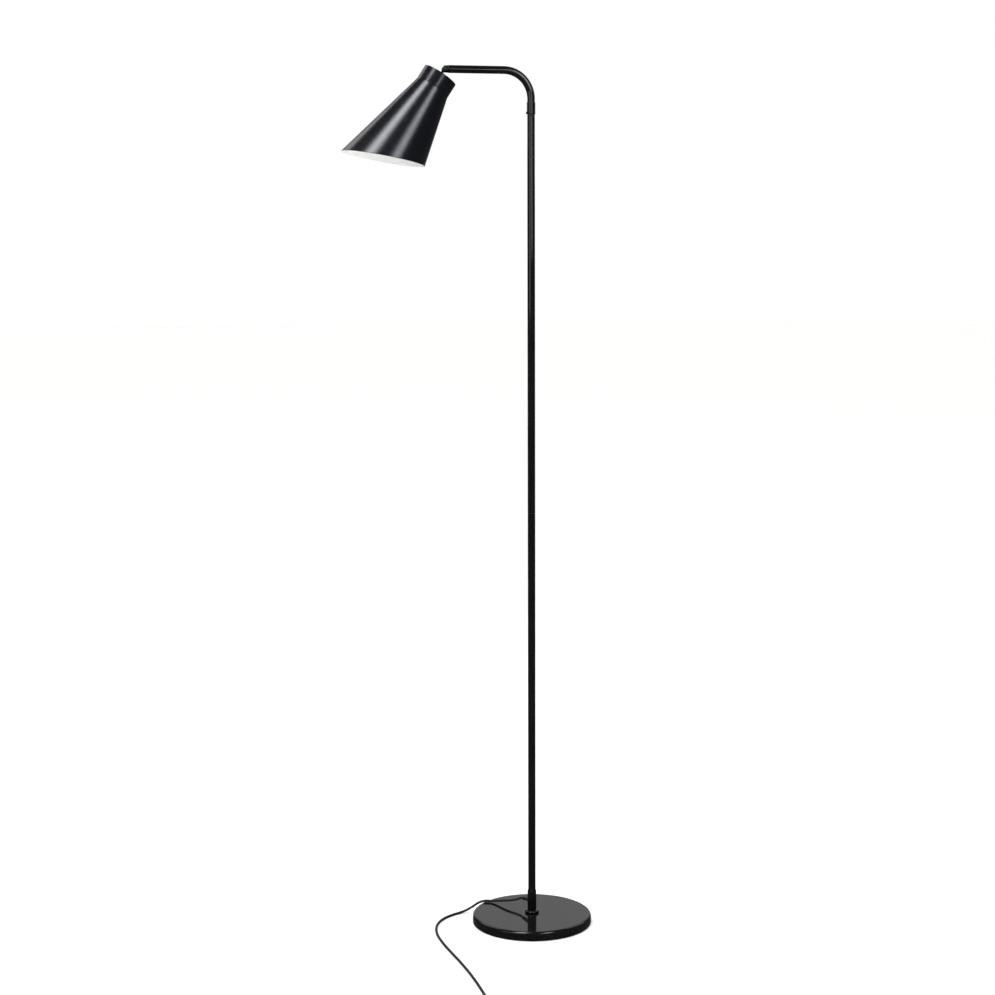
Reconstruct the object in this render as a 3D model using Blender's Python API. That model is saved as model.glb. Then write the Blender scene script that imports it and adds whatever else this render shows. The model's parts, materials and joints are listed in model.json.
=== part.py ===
"""Floor lamp with a swivelling bent arm and a tilting metal shade.

Units are metres, +Z is up. The origin is on the floor under the pole, and the arm
points along -X. The shade hangs from a knuckle at the arm's tip.
"""

import math

import bmesh
import bpy
from mathutils import Matrix, Vector

# ---------------------------------------------------------------- general fits
GAP = 0.0003            # clearance kept between faces that touch on the bench
FLOOR_GAP = 0.0003      # loose pieces lie this far off the floor plane
ARC_STEPS = 3           # chords in a small rounded edge
FINE = 40               # segments round a wide turned piece; nested pieces share it
ROUND = 20              # segments round a tube
SMALL = 12              # segments round a screw or a pin

# ---------------------------------------------------------------- overall sizes
LAMP_HEIGHT = 1.500
BASE_DIAMETER = 0.211
BASE_HEIGHT = 0.0165
ARM_REACH = 0.1490      # pole axis to the knuckle's hinge
REST_TILT = math.radians(32.9)   # shade axis from straight down, towards -X

# ---------------------------------------------------------------- base
BASE_EDGE_RADIUS = 0.005
COVER_WALL = 0.0012
COVER_LIFT = 0.0010     # the cover's lower rim above the floor
PAD_THICKNESS = 0.0020
PAD_INSET = 0.0050
BOLT_RADIUS = 0.0040
BOLT_HEAD_RADIUS = 0.0068
BOLT_HEAD_HEIGHT = 0.0050
BOLT_ENGAGEMENT = 0.0090
RIM_CHAMFER = 0.0006
WASHER_RADIUS = 0.0100
WASHER_THICKNESS = 0.0012

# ---------------------------------------------------------------- foot of the pole
FLANGE_RADIUS = 0.0125
FLANGE_HEIGHT = 0.0050
FLANGE_EDGE_RADIUS = 0.0018
FERRULE_WALL = 0.0011     # outside the pole's socket
FERRULE_HEIGHT = 0.0360
FERRULE_TAPER_LENGTH = 0.0130
FERRULE_LIP = 0.0008
FERRULE_LIP_HEIGHT = 0.0010
FERRULE_SEAT_DEPTH = 0.0130
FERRULE_CAVITY_RADIUS = 0.0050

# ---------------------------------------------------------------- pole
POLE_DIAMETER = 0.0132
POLE_WALL = 0.0012
POLE_SEAM_HEIGHT = 0.735
JOINER_LENGTH = 0.060
JOINER_WALL = 0.0016
CABLE_RADIUS = 0.0019
CABLE_TAIL = 0.0060       # cable's lower end above the base bolt

# ---------------------------------------------------------------- swivel on top of the pole
SWIVEL_DROP = 0.0760    # arm's centre line down to the pole's upper end
SPINDLE_SHANK_LENGTH = 0.020
SPINDLE_FLANGE_THICKNESS = 0.0022
SPINDLE_BORE_CLEARANCE = 0.0004   # round the cable
COLLAR_WALL = 0.0005
COLLAR_CHAMFER = 0.0004
COLLAR_HEIGHT = 0.0200
COLLAR_FLOOR = 0.0040
SWIVEL_WASHER_THICKNESS = 0.0008
SWIVEL_NUT_HEIGHT = 0.0040
SWIVEL_NUT_WALL = 0.0008
SPINDLE_END = 0.0016    # thread standing above the nut
STOP_SCREW_RADIUS = 0.0012
STOP_HEAD_RADIUS = 0.0023
STOP_HEAD_HEIGHT = 0.0009

# ---------------------------------------------------------------- arm
ARM_DIAMETER = 0.0132
ARM_WALL = 0.0010
ARM_BEND_RADIUS = 0.0470
ARM_BEND_STEPS = 9
ARM_SEGMENTS = 16

# ---------------------------------------------------------------- knuckle and stem
KNUCKLE_LENGTH = 0.0077   # hinge to the arm's open end
KNUCKLE_SHOULDER = 0.0015
KNUCKLE_TAPER = 0.0012
KNUCKLE_PLUG_LENGTH = 0.0120
FORK_RADIUS = 0.0041
FORK_NECK_START = 0.0010     # neck past the hinge, on the side away from the arm
FORK_SLOT = 0.0044
TONGUE_WIDTH = 0.0024
TONGUE_RADIUS = 0.0036
HINGE_PIN_RADIUS = 0.0015
HINGE_HEAD_RADIUS = 0.0029
HINGE_HEAD_HEIGHT = 0.0016
FRICTION_WASHER_THICKNESS = 0.0004
STEM_RADIUS = 0.0025
STEM_SHOULDER_RADIUS = 0.0055
STEM_SHOULDER_LENGTH = 0.0016
STEM_NUT_WALL = 0.0020
STEM_NUT_HEIGHT = 0.0030

# ---------------------------------------------------------------- shade, along its own axis from the hinge
SHADE_START = 0.0123
SHADE_WALL = 0.0010
COLLAR_TOP_RADIUS = 0.0303
SHADE_COLLAR_LENGTH = 0.0261
SHADE_LIP_WIDTH = 0.0030
CREASE_RADIUS = 0.0050
CONE_HALF_ANGLE = math.radians(13.9)
SHADE_LONG_SIDE = 0.2108   # hinge to the rim on the side away from the pole
SHADE_SHORT_SIDE = 0.1562  # hinge to the rim on the pole's side
CARRIER_THICKNESS = 0.0012
VENT_COUNT = 6
VENT_RADIUS = 0.0035
VENT_CIRCLE_RADIUS = 0.0185
TRIM_ALLOWANCE = 0.010     # cone turned past the slanted rim before it is cut

# ---------------------------------------------------------------- lampholder and bulb
HOLDER_WALL = 0.0016
HOLDER_AIR = 0.0030        # round the contact sleeve
HOLDER_NECK_RADIUS = 0.0065
HOLDER_CAP_HEIGHT = 0.0118
HOLDER_BODY_HEIGHT = 0.0360
CORE_THICKNESS = 0.0070
CORE_INSET = 0.0020
SLEEVE_WALL = 0.0006
SLEEVE_PLAY = 0.0007       # round the bulb's cap
SLEEVE_LENGTH = 0.0210
CONTACT_RADIUS = 0.0040
CONTACT_THICKNESS = 0.0010
BULB_CAP_RADIUS = 0.0131
BULB_CAP_LENGTH = 0.0230
BULB_RADIUS = 0.0225
BULB_LENGTH = 0.0500       # glass only

# ---------------------------------------------------------------- cord and its outlet
CORD_RADIUS = 0.0022
OUTLET_ANGLE = math.radians(113)
OUTLET_HEIGHT = 0.0386
OUTLET_DROOP = math.radians(8)
RELIEF_BARREL_WALL = 0.0006
RELIEF_HEAD_WALL = 0.0014
RELIEF_HEAD_LENGTH = 0.0012
RELIEF_TIP_WALL = 0.0005
RELIEF_STAND = 0.0008      # relief's head off the ferrule
RELIEF_TAIL_LENGTH = 0.020

# ---------------------------------------------------------------- foot switch, plug and coil on the cord
SWITCH_CENTRE = Vector((-0.140, -0.462, 0.0))
SWITCH_RADIUS = 0.0280
SWITCH_EDGE = 0.0015
SWITCH_WALL = 0.0016
SWITCH_BASE_HEIGHT = 0.0110
SWITCH_COVER_HEIGHT = 0.0090
SWITCH_CORD_HEIGHT = 0.0058
BUTTON_RADIUS = 0.0105
BUTTON_TRAVEL = 0.0030
BUTTON_STAND = 0.0042      # button above the cover when released
BUTTON_FLANGE = 0.0022
BUTTON_FLANGE_HEIGHT = 0.0014
BUTTON_EDGE = 0.0016
SWITCH_RELIEF_LENGTH = 0.0160
CONTACT_BLOCK_RADIUS = 0.0085
SPRING_SPACE = 0.0030      # left for the pressed spring
SPRING_WIRE = 0.0004
SPRING_RADIUS = 0.0045
SPRING_TURNS = 3
SPRING_TURN_STEPS = 8
PLUG_END = Vector((-0.0284, -0.478, 0.0071))   # where the cord meets the plug
PLUG_WIDTH = 0.0350
PLUG_HEIGHT = 0.0136
PLUG_LENGTH = 0.0340
PLUG_RELIEF_LENGTH = 0.0200
PLUG_PIN_RADIUS = 0.0020
PLUG_PIN_LENGTH = 0.0190
PLUG_PIN_SPACING = 0.0190
PLUG_PIN_DEPTH = 0.0080
COIL_CENTRE = Vector((-0.060, -0.513, 0.0))
COIL_MEAN_RADIUS = 0.0250
COIL_TURNS_WIDE = 4
COIL_LAYERS = 2

# Route of the lead from its strain relief to the foot switch: over the base's rim, then along the floor.
LEAD_ROUTE = (
    (-0.0165, 0.0330, 0.0322),
    (-0.0240, 0.0358, 0.0296),
    (-0.0335, 0.0405, 0.0272),
    (-0.0440, 0.0500, 0.0244),
    (-0.0535, 0.0600, 0.0213),
    (-0.0630, 0.0668, 0.0193),
    (-0.0725, 0.0700, 0.0190),
    (-0.0840, 0.0705, 0.0165),
    (-0.0960, 0.0690, 0.0102),
    (-0.1080, 0.0660, 0.0052),
    (-0.1210, 0.0610, 0.0029),
    (-0.1350, 0.0530, 0.0025),
    (-0.1530, 0.0370, 0.0025),
    (-0.1670, 0.0140, 0.0025),
    (-0.1750, -0.0150, 0.0025),
    (-0.1770, -0.0500, 0.0025),
    (-0.1735, -0.0900, 0.0025),
    (-0.1665, -0.1350, 0.0025),
    (-0.1590, -0.1800, 0.0025),
    (-0.1525, -0.2250, 0.0025),
    (-0.1475, -0.2700, 0.0025),
    (-0.1440, -0.3150, 0.0025),
    (-0.1415, -0.3550, 0.0027),
    (-0.1402, -0.3880, 0.0040),
)

# Route from the foot switch's far side to the coil.
MIDDLE_ROUTE = (
    (-0.1399, -0.5190, 0.0051),
    (-0.1372, -0.5315, 0.0034),
    (-0.1300, -0.5410, 0.0026),
    (-0.1180, -0.5455, 0.0025),
    (-0.1020, -0.5456, 0.0025),
)

# Route from the coil's upper layer to the plug.
END_ROUTE = (
    (-0.0284, -0.4900, 0.0069),
)

# ---------------------------------------------------------------- sizes that follow
POLE_RADIUS = POLE_DIAMETER / 2
POLE_INNER = POLE_RADIUS - POLE_WALL
ARM_RADIUS = ARM_DIAMETER / 2
ARM_INNER = ARM_RADIUS - ARM_WALL
ARM_HEIGHT = LAMP_HEIGHT - ARM_RADIUS
BASE_RADIUS = BASE_DIAMETER / 2
FLANGE_BOTTOM = BASE_HEIGHT + GAP
FERRULE_BOTTOM = FLANGE_BOTTOM + FLANGE_HEIGHT + GAP
FERRULE_TOP = FERRULE_BOTTOM + FERRULE_HEIGHT
FERRULE_RADIUS = POLE_RADIUS + GAP + FERRULE_WALL
POLE_BOTTOM = FERRULE_TOP - FERRULE_SEAT_DEPTH + GAP
POLE_TOP = ARM_HEIGHT - SWIVEL_DROP
BOLT_TOP = FLANGE_BOTTOM + BOLT_ENGAGEMENT
SPINDLE_BORE_RADIUS = CABLE_RADIUS + SPINDLE_BORE_CLEARANCE
SPINDLE_RADIUS = ARM_INNER - 2 * GAP - SWIVEL_NUT_WALL
SPINDLE_GROOVE_RADIUS = (SPINDLE_RADIUS + SPINDLE_BORE_RADIUS) / 2
SPINDLE_SEAT = POLE_TOP + GAP
COLLAR_RADIUS = ARM_RADIUS + GAP + COLLAR_WALL
FORK_NECK_RADIUS = ARM_RADIUS - COLLAR_CHAMFER
FORK_WIDTH = 2 * (FORK_NECK_RADIUS + GAP)
COLLAR_BOTTOM = SPINDLE_SEAT + SPINDLE_FLANGE_THICKNESS + GAP
COLLAR_FLOOR_TOP = COLLAR_BOTTOM + COLLAR_FLOOR
SWIVEL_WASHER_BOTTOM = COLLAR_FLOOR_TOP + GAP
SWIVEL_NUT_BOTTOM = SWIVEL_WASHER_BOTTOM + SWIVEL_WASHER_THICKNESS + GAP
SPINDLE_TOP = SWIVEL_NUT_BOTTOM + SWIVEL_NUT_HEIGHT + SPINDLE_END
LEG_BOTTOM = COLLAR_FLOOR_TOP + GAP
ARM_END = -(ARM_REACH - KNUCKLE_LENGTH)
STEM_NUT_RADIUS = STEM_RADIUS + GAP + STEM_NUT_WALL
SLEEVE_RADIUS = BULB_CAP_RADIUS + SLEEVE_PLAY + SLEEVE_WALL
HOLDER_RADIUS = SLEEVE_RADIUS + HOLDER_AIR + HOLDER_WALL
CREASE_AT = SHADE_START + SHADE_COLLAR_LENGTH
CARRIER_START = SHADE_START + SHADE_WALL + GAP
CARRIER_END = CARRIER_START + CARRIER_THICKNESS
STEM_NUT_START = CARRIER_END + GAP
HOLDER_CAP_START = STEM_NUT_START + STEM_NUT_HEIGHT + GAP
HOLDER_BODY_START = HOLDER_CAP_START + HOLDER_CAP_HEIGHT + GAP
CORE_START = HOLDER_BODY_START + CORE_INSET
SLEEVE_START = CORE_START + CORE_THICKNESS + GAP
BULB_CAP_START = SLEEVE_START + CONTACT_THICKNESS + GAP
BULB_START = BULB_CAP_START + BULB_CAP_LENGTH + GAP
STEM_END = HOLDER_CAP_START + 0.5 * HOLDER_CAP_HEIGHT
CORD_ON_FLOOR = CORD_RADIUS + FLOOR_GAP
CORD_DIAMETER = 2 * CORD_RADIUS
RELIEF_BARREL_RADIUS = CORD_RADIUS + RELIEF_BARREL_WALL
RELIEF_HEAD_RADIUS = CORD_RADIUS + RELIEF_HEAD_WALL
RELIEF_TIP_RADIUS = CORD_RADIUS + RELIEF_TIP_WALL


# ---------------------------------------------------------------- making shapes
def finish_material(name, colour, roughness, metallic=0.0):
    material = bpy.data.materials.get(name)
    if material:
        return material
    material = bpy.data.materials.new(name)
    material.use_nodes = True
    shader = material.node_tree.nodes["Principled BSDF"]
    shader.inputs["Base Color"].default_value = (*colour, 1.0)
    shader.inputs["Roughness"].default_value = roughness
    shader.inputs["Metallic"].default_value = metallic
    return material


def gloss_black():
    return finish_material("gloss_black_lacquer", (0.012, 0.012, 0.014), 0.12)


def steel():
    return finish_material("zinc_steel", (0.55, 0.55, 0.53), 0.35, 1.0)


def black_screw():
    return finish_material("black_screw", (0.02, 0.02, 0.022), 0.3, 0.5)


def shade_lacquer():
    return finish_material("shade_lacquer", (0.014, 0.014, 0.017), 0.12)


def iron():
    return finish_material("cast_iron", (0.10, 0.10, 0.10), 0.7, 0.6)


def brass():
    return finish_material("brass", (0.72, 0.55, 0.26), 0.3, 1.0)


def black_plastic():
    return finish_material("black_plastic", (0.02, 0.02, 0.02), 0.45)


def cord_plastic():
    return finish_material("cord_pvc", (0.015, 0.015, 0.016), 0.5)


def nylon():
    return finish_material("nylon", (0.75, 0.74, 0.70), 0.5)


def add_object(name, mesh, material, parent=None, smooth_angle=math.radians(40)):
    mesh.materials.append(material)
    mesh.shade_smooth()
    mesh.set_sharp_from_angle(angle=smooth_angle)
    obj = bpy.data.objects.new(name, mesh)
    bpy.context.scene.collection.objects.link(obj)
    obj.parent = parent
    return obj


def arc(centre_r, centre_z, radius, start, end, steps=ARC_STEPS):
    """Points of an arc in the (r, z) plane, angles in degrees."""
    points = []
    for i in range(steps + 1):
        angle = math.radians(start + (end - start) * i / steps)
        points.append((centre_r + radius * math.cos(angle), centre_z + radius * math.sin(angle)))
    return points


def turned_mesh(name, profile, segments):
    """A solid of revolution about Z. A profile that starts and ends on the axis is left open there."""
    bm = bmesh.new()
    on_axis = profile[0][0] == 0 and profile[-1][0] == 0
    verts = [bm.verts.new((r, 0.0, z)) for r, z in profile]
    pairs = list(zip(verts, verts[1:]))
    if not on_axis:
        pairs.append((verts[-1], verts[0]))
    edges = [bm.edges.new(pair) for pair in pairs]
    bmesh.ops.spin(
        bm, geom=verts + edges, cent=(0, 0, 0), axis=(0, 0, 1),
        angle=math.tau, steps=segments, use_merge=True, use_duplicate=False,
    )
    bmesh.ops.remove_doubles(bm, verts=bm.verts, dist=1e-6)
    bmesh.ops.recalc_face_normals(bm, faces=bm.faces)
    mesh = bpy.data.meshes.new(name)
    bm.to_mesh(mesh)
    bm.free()
    return mesh


def turned(name, profile, material, segments=ROUND, parent=None):
    return add_object(name, turned_mesh(name, profile, segments), material, parent)


def tube(name, outer, inner, low, high, material, segments=ROUND, parent=None):
    profile = [(inner, low), (outer, low), (outer, high), (inner, high)]
    return turned(name, profile, material, segments, parent)


def rod_profile(radius, low, high):
    return [(0.0, low), (radius, low), (radius, high), (0.0, high)]


def cutter(name, mesh, parent=None):
    obj = bpy.data.objects.new(name, mesh)
    bpy.context.scene.collection.objects.link(obj)
    obj.parent = parent
    obj.hide_render = True
    obj.display_type = "WIRE"
    return obj


def box_mesh(name, low, high):
    bm = bmesh.new()
    bmesh.ops.create_cube(bm, size=1.0)
    size = Vector(high) - Vector(low)
    middle = (Vector(high) + Vector(low)) / 2
    bmesh.ops.transform(bm, matrix=Matrix.Translation(middle) @ Matrix.Diagonal((*size, 1.0)), verts=bm.verts)
    mesh = bpy.data.meshes.new(name)
    bm.to_mesh(mesh)
    bm.free()
    return mesh


def turn_mesh(mesh, matrix):
    mesh.transform(matrix)
    return mesh


def boolean(obj, tool, operation):
    modifier = obj.modifiers.new(operation.lower() + "_" + tool.name, "BOOLEAN")
    modifier.operation = operation
    modifier.solver = "EXACT"
    modifier.object = tool


def smooth_line(points, spacing, end_step):
    """Evenly spaced points of a Catmull-Rom curve through the given ones, with one more near each end."""
    ends = [2 * points[0] - points[1], *points, 2 * points[-1] - points[-2]]
    fine = []
    for before, start, end, after in zip(ends, ends[1:], ends[2:], ends[3:]):
        for i in range(24):
            t = i / 24
            fine.append(0.5 * (
                2 * start + (end - before) * t
                + (2 * before - 5 * start + 4 * end - after) * t * t
                + (3 * start - before - 3 * end + after) * t * t * t
            ))
    fine.append(points[-1])
    travelled = [0.0]
    for a, b in zip(fine, fine[1:]):
        travelled.append(travelled[-1] + (b - a).length)
    total = travelled[-1]
    count = max(2, round(total / spacing))
    goals = [total * i / count for i in range(count + 1)]
    goals.insert(1, min(end_step, goals[1] / 2))
    goals.insert(-1, total - goals[1])
    line = []
    k = 0
    for goal in goals:
        while k < len(fine) - 2 and travelled[k + 1] < goal:
            k += 1
        share = (goal - travelled[k]) / (travelled[k + 1] - travelled[k])
        line.append(fine[k].lerp(fine[k + 1], min(max(share, 0.0), 1.0)))
    return line


def cable(name, line, radius, material, resolution=2, parent=None):
    """A round cable along a line of points, as a curve with closed ends."""
    curve = bpy.data.curves.new(name, "CURVE")
    curve.dimensions = "3D"
    curve.bevel_depth = radius
    curve.bevel_resolution = resolution
    curve.use_fill_caps = True
    spline = curve.splines.new("POLY")
    spline.points.add(len(line) - 1)
    for point, place in zip(spline.points, line):
        point.co = (*place, 1.0)
    spline.use_smooth = True
    curve.materials.append(material)
    obj = bpy.data.objects.new(name, curve)
    bpy.context.scene.collection.objects.link(obj)
    obj.parent = parent
    return obj


def empty(name, location, parent=None, rotation=(0.0, 0.0, 0.0)):
    obj = bpy.data.objects.new(name, None)
    bpy.context.scene.collection.objects.link(obj)
    obj.location = location
    obj.rotation_euler = rotation
    obj.parent = parent
    return obj


def hexagon_nut(name, across_corners_radius, bore, low, high, material, parent=None):
    """A hexagonal nut along Z with a round bore."""
    nut = turned(name, [(bore, low), (across_corners_radius * 1.3, low),
                        (across_corners_radius * 1.3, high), (bore, high)], material, SMALL, parent)
    hexagon = turned_mesh(name + "_flats", rod_profile(across_corners_radius, low - GAP, high + GAP), 6)
    boolean(nut, cutter(name + "_flats", hexagon, parent), "INTERSECT")
    return nut


# ---------------------------------------------------------------- base
def make_base():
    top = BASE_HEIGHT
    inner = BASE_RADIUS - COVER_WALL
    hole = BOLT_RADIUS + GAP
    ceiling = top - COVER_WALL
    edge = BASE_EDGE_RADIUS - COVER_WALL
    cover = [(hole, ceiling), (hole, top)]
    cover += arc(BASE_RADIUS - BASE_EDGE_RADIUS, top - BASE_EDGE_RADIUS, BASE_EDGE_RADIUS, 90, 0)
    cover += [(BASE_RADIUS, COVER_LIFT), (inner, COVER_LIFT)]
    cover += arc(BASE_RADIUS - BASE_EDGE_RADIUS, top - BASE_EDGE_RADIUS, edge, 0, 90)
    turned("base_cover", cover, gloss_black(), FINE)

    weight_bottom = PAD_THICKNESS + GAP
    weight_top = ceiling - GAP
    recess_top = weight_bottom + BOLT_HEAD_HEIGHT + WASHER_THICKNESS + 2 * GAP
    recess = WASHER_RADIUS + GAP
    outer = inner - GAP
    weight = [(hole, recess_top), (recess, recess_top), (recess, weight_bottom), (outer, weight_bottom)]
    weight += arc(outer - edge, weight_top - edge, edge, 0, 90, 2)
    weight += [(hole, weight_top)]
    turned("base_weight", weight, iron(), FINE)

    turned("base_pad", rod_profile(BASE_RADIUS - PAD_INSET, 0.0, PAD_THICKNESS),
           finish_material("pad_rubber", (0.03, 0.03, 0.03), 0.8), FINE)

    head_bottom = weight_bottom + GAP / 2
    head_top = head_bottom + BOLT_HEAD_HEIGHT - GAP / 2
    washer_bottom = head_top + GAP
    tube("base_bolt_washer", WASHER_RADIUS, hole, washer_bottom, washer_bottom + WASHER_THICKNESS, steel())
    bolt = turned("base_bolt", rod_profile(BOLT_RADIUS, head_top - GAP, BOLT_TOP), steel(), SMALL)
    head = turned_mesh("base_bolt_head", rod_profile(BOLT_HEAD_RADIUS, head_bottom, head_top), 6)
    boolean(bolt, cutter("base_bolt_head", head), "UNION")


# ---------------------------------------------------------------- foot of the pole
def relief_profile(start, face, tail):
    """A strain relief: a barrel through the wall, a head against it and a tapered tail."""
    return [
        (0.0, start),
        (RELIEF_BARREL_RADIUS, start),
        (RELIEF_BARREL_RADIUS, face),
        (RELIEF_HEAD_RADIUS, face),
        (RELIEF_HEAD_RADIUS, face + RELIEF_HEAD_LENGTH),
        (RELIEF_TIP_RADIUS, tail),
        (0.0, tail),
    ]


def relief_axis():
    """Where the lead's strain relief starts, at the pole's axis, and which way it points."""
    flat = math.cos(OUTLET_DROOP)
    way = Vector((flat * math.cos(OUTLET_ANGLE), flat * math.sin(OUTLET_ANGLE), -math.sin(OUTLET_DROOP)))
    return Vector((0.0, 0.0, OUTLET_HEIGHT)), way


def make_foot():
    bore = BOLT_RADIUS + GAP
    top = FLANGE_BOTTOM + FLANGE_HEIGHT
    crown = top - RIM_CHAMFER
    flange = [
        (bore, FLANGE_BOTTOM),
        (FLANGE_RADIUS - RIM_CHAMFER, FLANGE_BOTTOM),
        (FLANGE_RADIUS, FLANGE_BOTTOM + RIM_CHAMFER),
    ]
    flange += arc(FLANGE_RADIUS - FLANGE_EDGE_RADIUS, crown - FLANGE_EDGE_RADIUS, FLANGE_EDGE_RADIUS, 0, 80)
    flange += [(FERRULE_RADIUS + RIM_CHAMFER, top), (bore, top)]
    turned("foot_flange", flange, gloss_black(), ROUND)

    seat = FERRULE_TOP - FERRULE_SEAT_DEPTH
    socket = POLE_RADIUS + GAP
    lip = socket + FERRULE_LIP
    taper_bottom = FERRULE_TOP - FERRULE_TAPER_LENGTH
    cavity_floor = BOLT_TOP + GAP
    ferrule = [
        (bore, FERRULE_BOTTOM),
        (FERRULE_RADIUS, FERRULE_BOTTOM),
        (FERRULE_RADIUS, taper_bottom),
        (lip, FERRULE_TOP - FERRULE_LIP_HEIGHT),
        (socket + FERRULE_LIP / 2, FERRULE_TOP),
        (socket, FERRULE_TOP),
        (socket, seat),
        (FERRULE_CAVITY_RADIUS, seat),
        (FERRULE_CAVITY_RADIUS, cavity_floor),
        (bore, cavity_floor),
    ]
    sleeve = turned("foot_ferrule", ferrule, gloss_black(), ROUND)

    start, way = relief_axis()
    turn = way.to_track_quat("Z", "Y").to_matrix().to_4x4()
    hole = turned_mesh("outlet_hole", rod_profile(RELIEF_BARREL_RADIUS + GAP, 0.0, 2 * FERRULE_RADIUS), SMALL)
    boolean(sleeve, cutter("outlet_hole", turn_mesh(hole, Matrix.Translation(start) @ turn)), "DIFFERENCE")

    face = FERRULE_RADIUS + RELIEF_STAND
    tail = face + RELIEF_TAIL_LENGTH
    relief = relief_profile(FERRULE_CAVITY_RADIUS + GAP, face, tail)
    piece = turned("cord_outlet_relief", relief, cord_plastic(), SMALL)
    piece.location = start
    piece.rotation_euler = way.to_track_quat("Z", "Y").to_euler()
    return start + way * (tail + GAP), way


# ---------------------------------------------------------------- pole
def make_pole():
    tube("lower_pole", POLE_RADIUS, POLE_INNER, POLE_BOTTOM, POLE_SEAM_HEIGHT, gloss_black())
    tube("upper_pole", POLE_RADIUS, POLE_INNER, POLE_SEAM_HEIGHT + GAP, POLE_TOP, gloss_black())
    joiner = POLE_INNER - GAP
    middle = POLE_SEAM_HEIGHT
    tube("pole_joiner", joiner, joiner - JOINER_WALL, middle - JOINER_LENGTH / 2, middle + JOINER_LENGTH / 2,
         steel(), SMALL)
    run = [Vector((0.0, 0.0, z)) for z in (BOLT_TOP + CABLE_TAIL, POLE_SEAM_HEIGHT, SPINDLE_TOP)]
    cable("pole_cable", run, CABLE_RADIUS, cord_plastic())


# ---------------------------------------------------------------- swivel
def make_swivel_seat():
    shank = POLE_INNER - GAP
    flange_top = SPINDLE_SEAT + SPINDLE_FLANGE_THICKNESS
    groove_middle = COLLAR_BOTTOM + COLLAR_FLOOR / 2
    groove_half = STOP_SCREW_RADIUS + GAP
    groove = SPINDLE_GROOVE_RADIUS
    spindle = [
        (SPINDLE_BORE_RADIUS, POLE_TOP - SPINDLE_SHANK_LENGTH),
        (shank, POLE_TOP - SPINDLE_SHANK_LENGTH),
        (shank, SPINDLE_SEAT),
        (POLE_RADIUS, SPINDLE_SEAT),
        (POLE_RADIUS, flange_top),
        (SPINDLE_RADIUS, flange_top),
        (SPINDLE_RADIUS, groove_middle - groove_half),
        (groove, groove_middle - groove_half),
        (groove, groove_middle + groove_half),
        (SPINDLE_RADIUS, groove_middle + groove_half),
        (SPINDLE_RADIUS, SPINDLE_TOP),
        (SPINDLE_BORE_RADIUS, SPINDLE_TOP),
    ]
    turned("swivel_spindle", spindle, steel(), ROUND)
    bore = SPINDLE_RADIUS + GAP
    nut = ARM_INNER - GAP
    tube("swivel_washer", nut, bore, SWIVEL_WASHER_BOTTOM, SWIVEL_WASHER_BOTTOM + SWIVEL_WASHER_THICKNESS,
         nylon(), SMALL)
    tube("swivel_nut", nut, bore, SWIVEL_NUT_BOTTOM, SWIVEL_NUT_BOTTOM + SWIVEL_NUT_HEIGHT, steel(), SMALL)


# ---------------------------------------------------------------- arm
def bent_tube(name, outer, inner, material, parent):
    """A tube that rises along Z, bends and ends along -X, in the parent's frame."""
    bend_start = ARM_HEIGHT - ARM_BEND_RADIUS - COLLAR_BOTTOM
    stations = [((0.0, LEG_BOTTOM - COLLAR_BOTTOM), 0.0)]
    for i in range(ARM_BEND_STEPS + 1):
        angle = math.pi / 2 * i / ARM_BEND_STEPS
        place = (ARM_BEND_RADIUS * (math.cos(angle) - 1), bend_start + ARM_BEND_RADIUS * math.sin(angle))
        stations.append((place, angle))
    stations.append(((ARM_END, bend_start + ARM_BEND_RADIUS), math.pi / 2))

    bm = bmesh.new()
    rings = []
    for (x, z), angle in stations:
        for radius in (outer, inner):
            ring = []
            for k in range(ARM_SEGMENTS):
                around = math.tau * k / ARM_SEGMENTS
                side = radius * math.cos(around)
                ring.append(bm.verts.new((x + side * math.cos(angle), radius * math.sin(around),
                                          z + side * math.sin(angle))))
            rings.append(ring)

    def join(first, second):
        for k in range(ARM_SEGMENTS):
            after = (k + 1) % ARM_SEGMENTS
            bm.faces.new((first[k], first[after], second[after], second[k]))

    for k in range(len(rings) - 2):
        join(rings[k], rings[k + 2])
    join(rings[0], rings[1])
    join(rings[-2], rings[-1])
    bmesh.ops.recalc_face_normals(bm, faces=bm.faces)
    mesh = bpy.data.meshes.new(name)
    bm.to_mesh(mesh)
    bm.free()
    return add_object(name, mesh, material, parent, math.radians(50))


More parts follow.
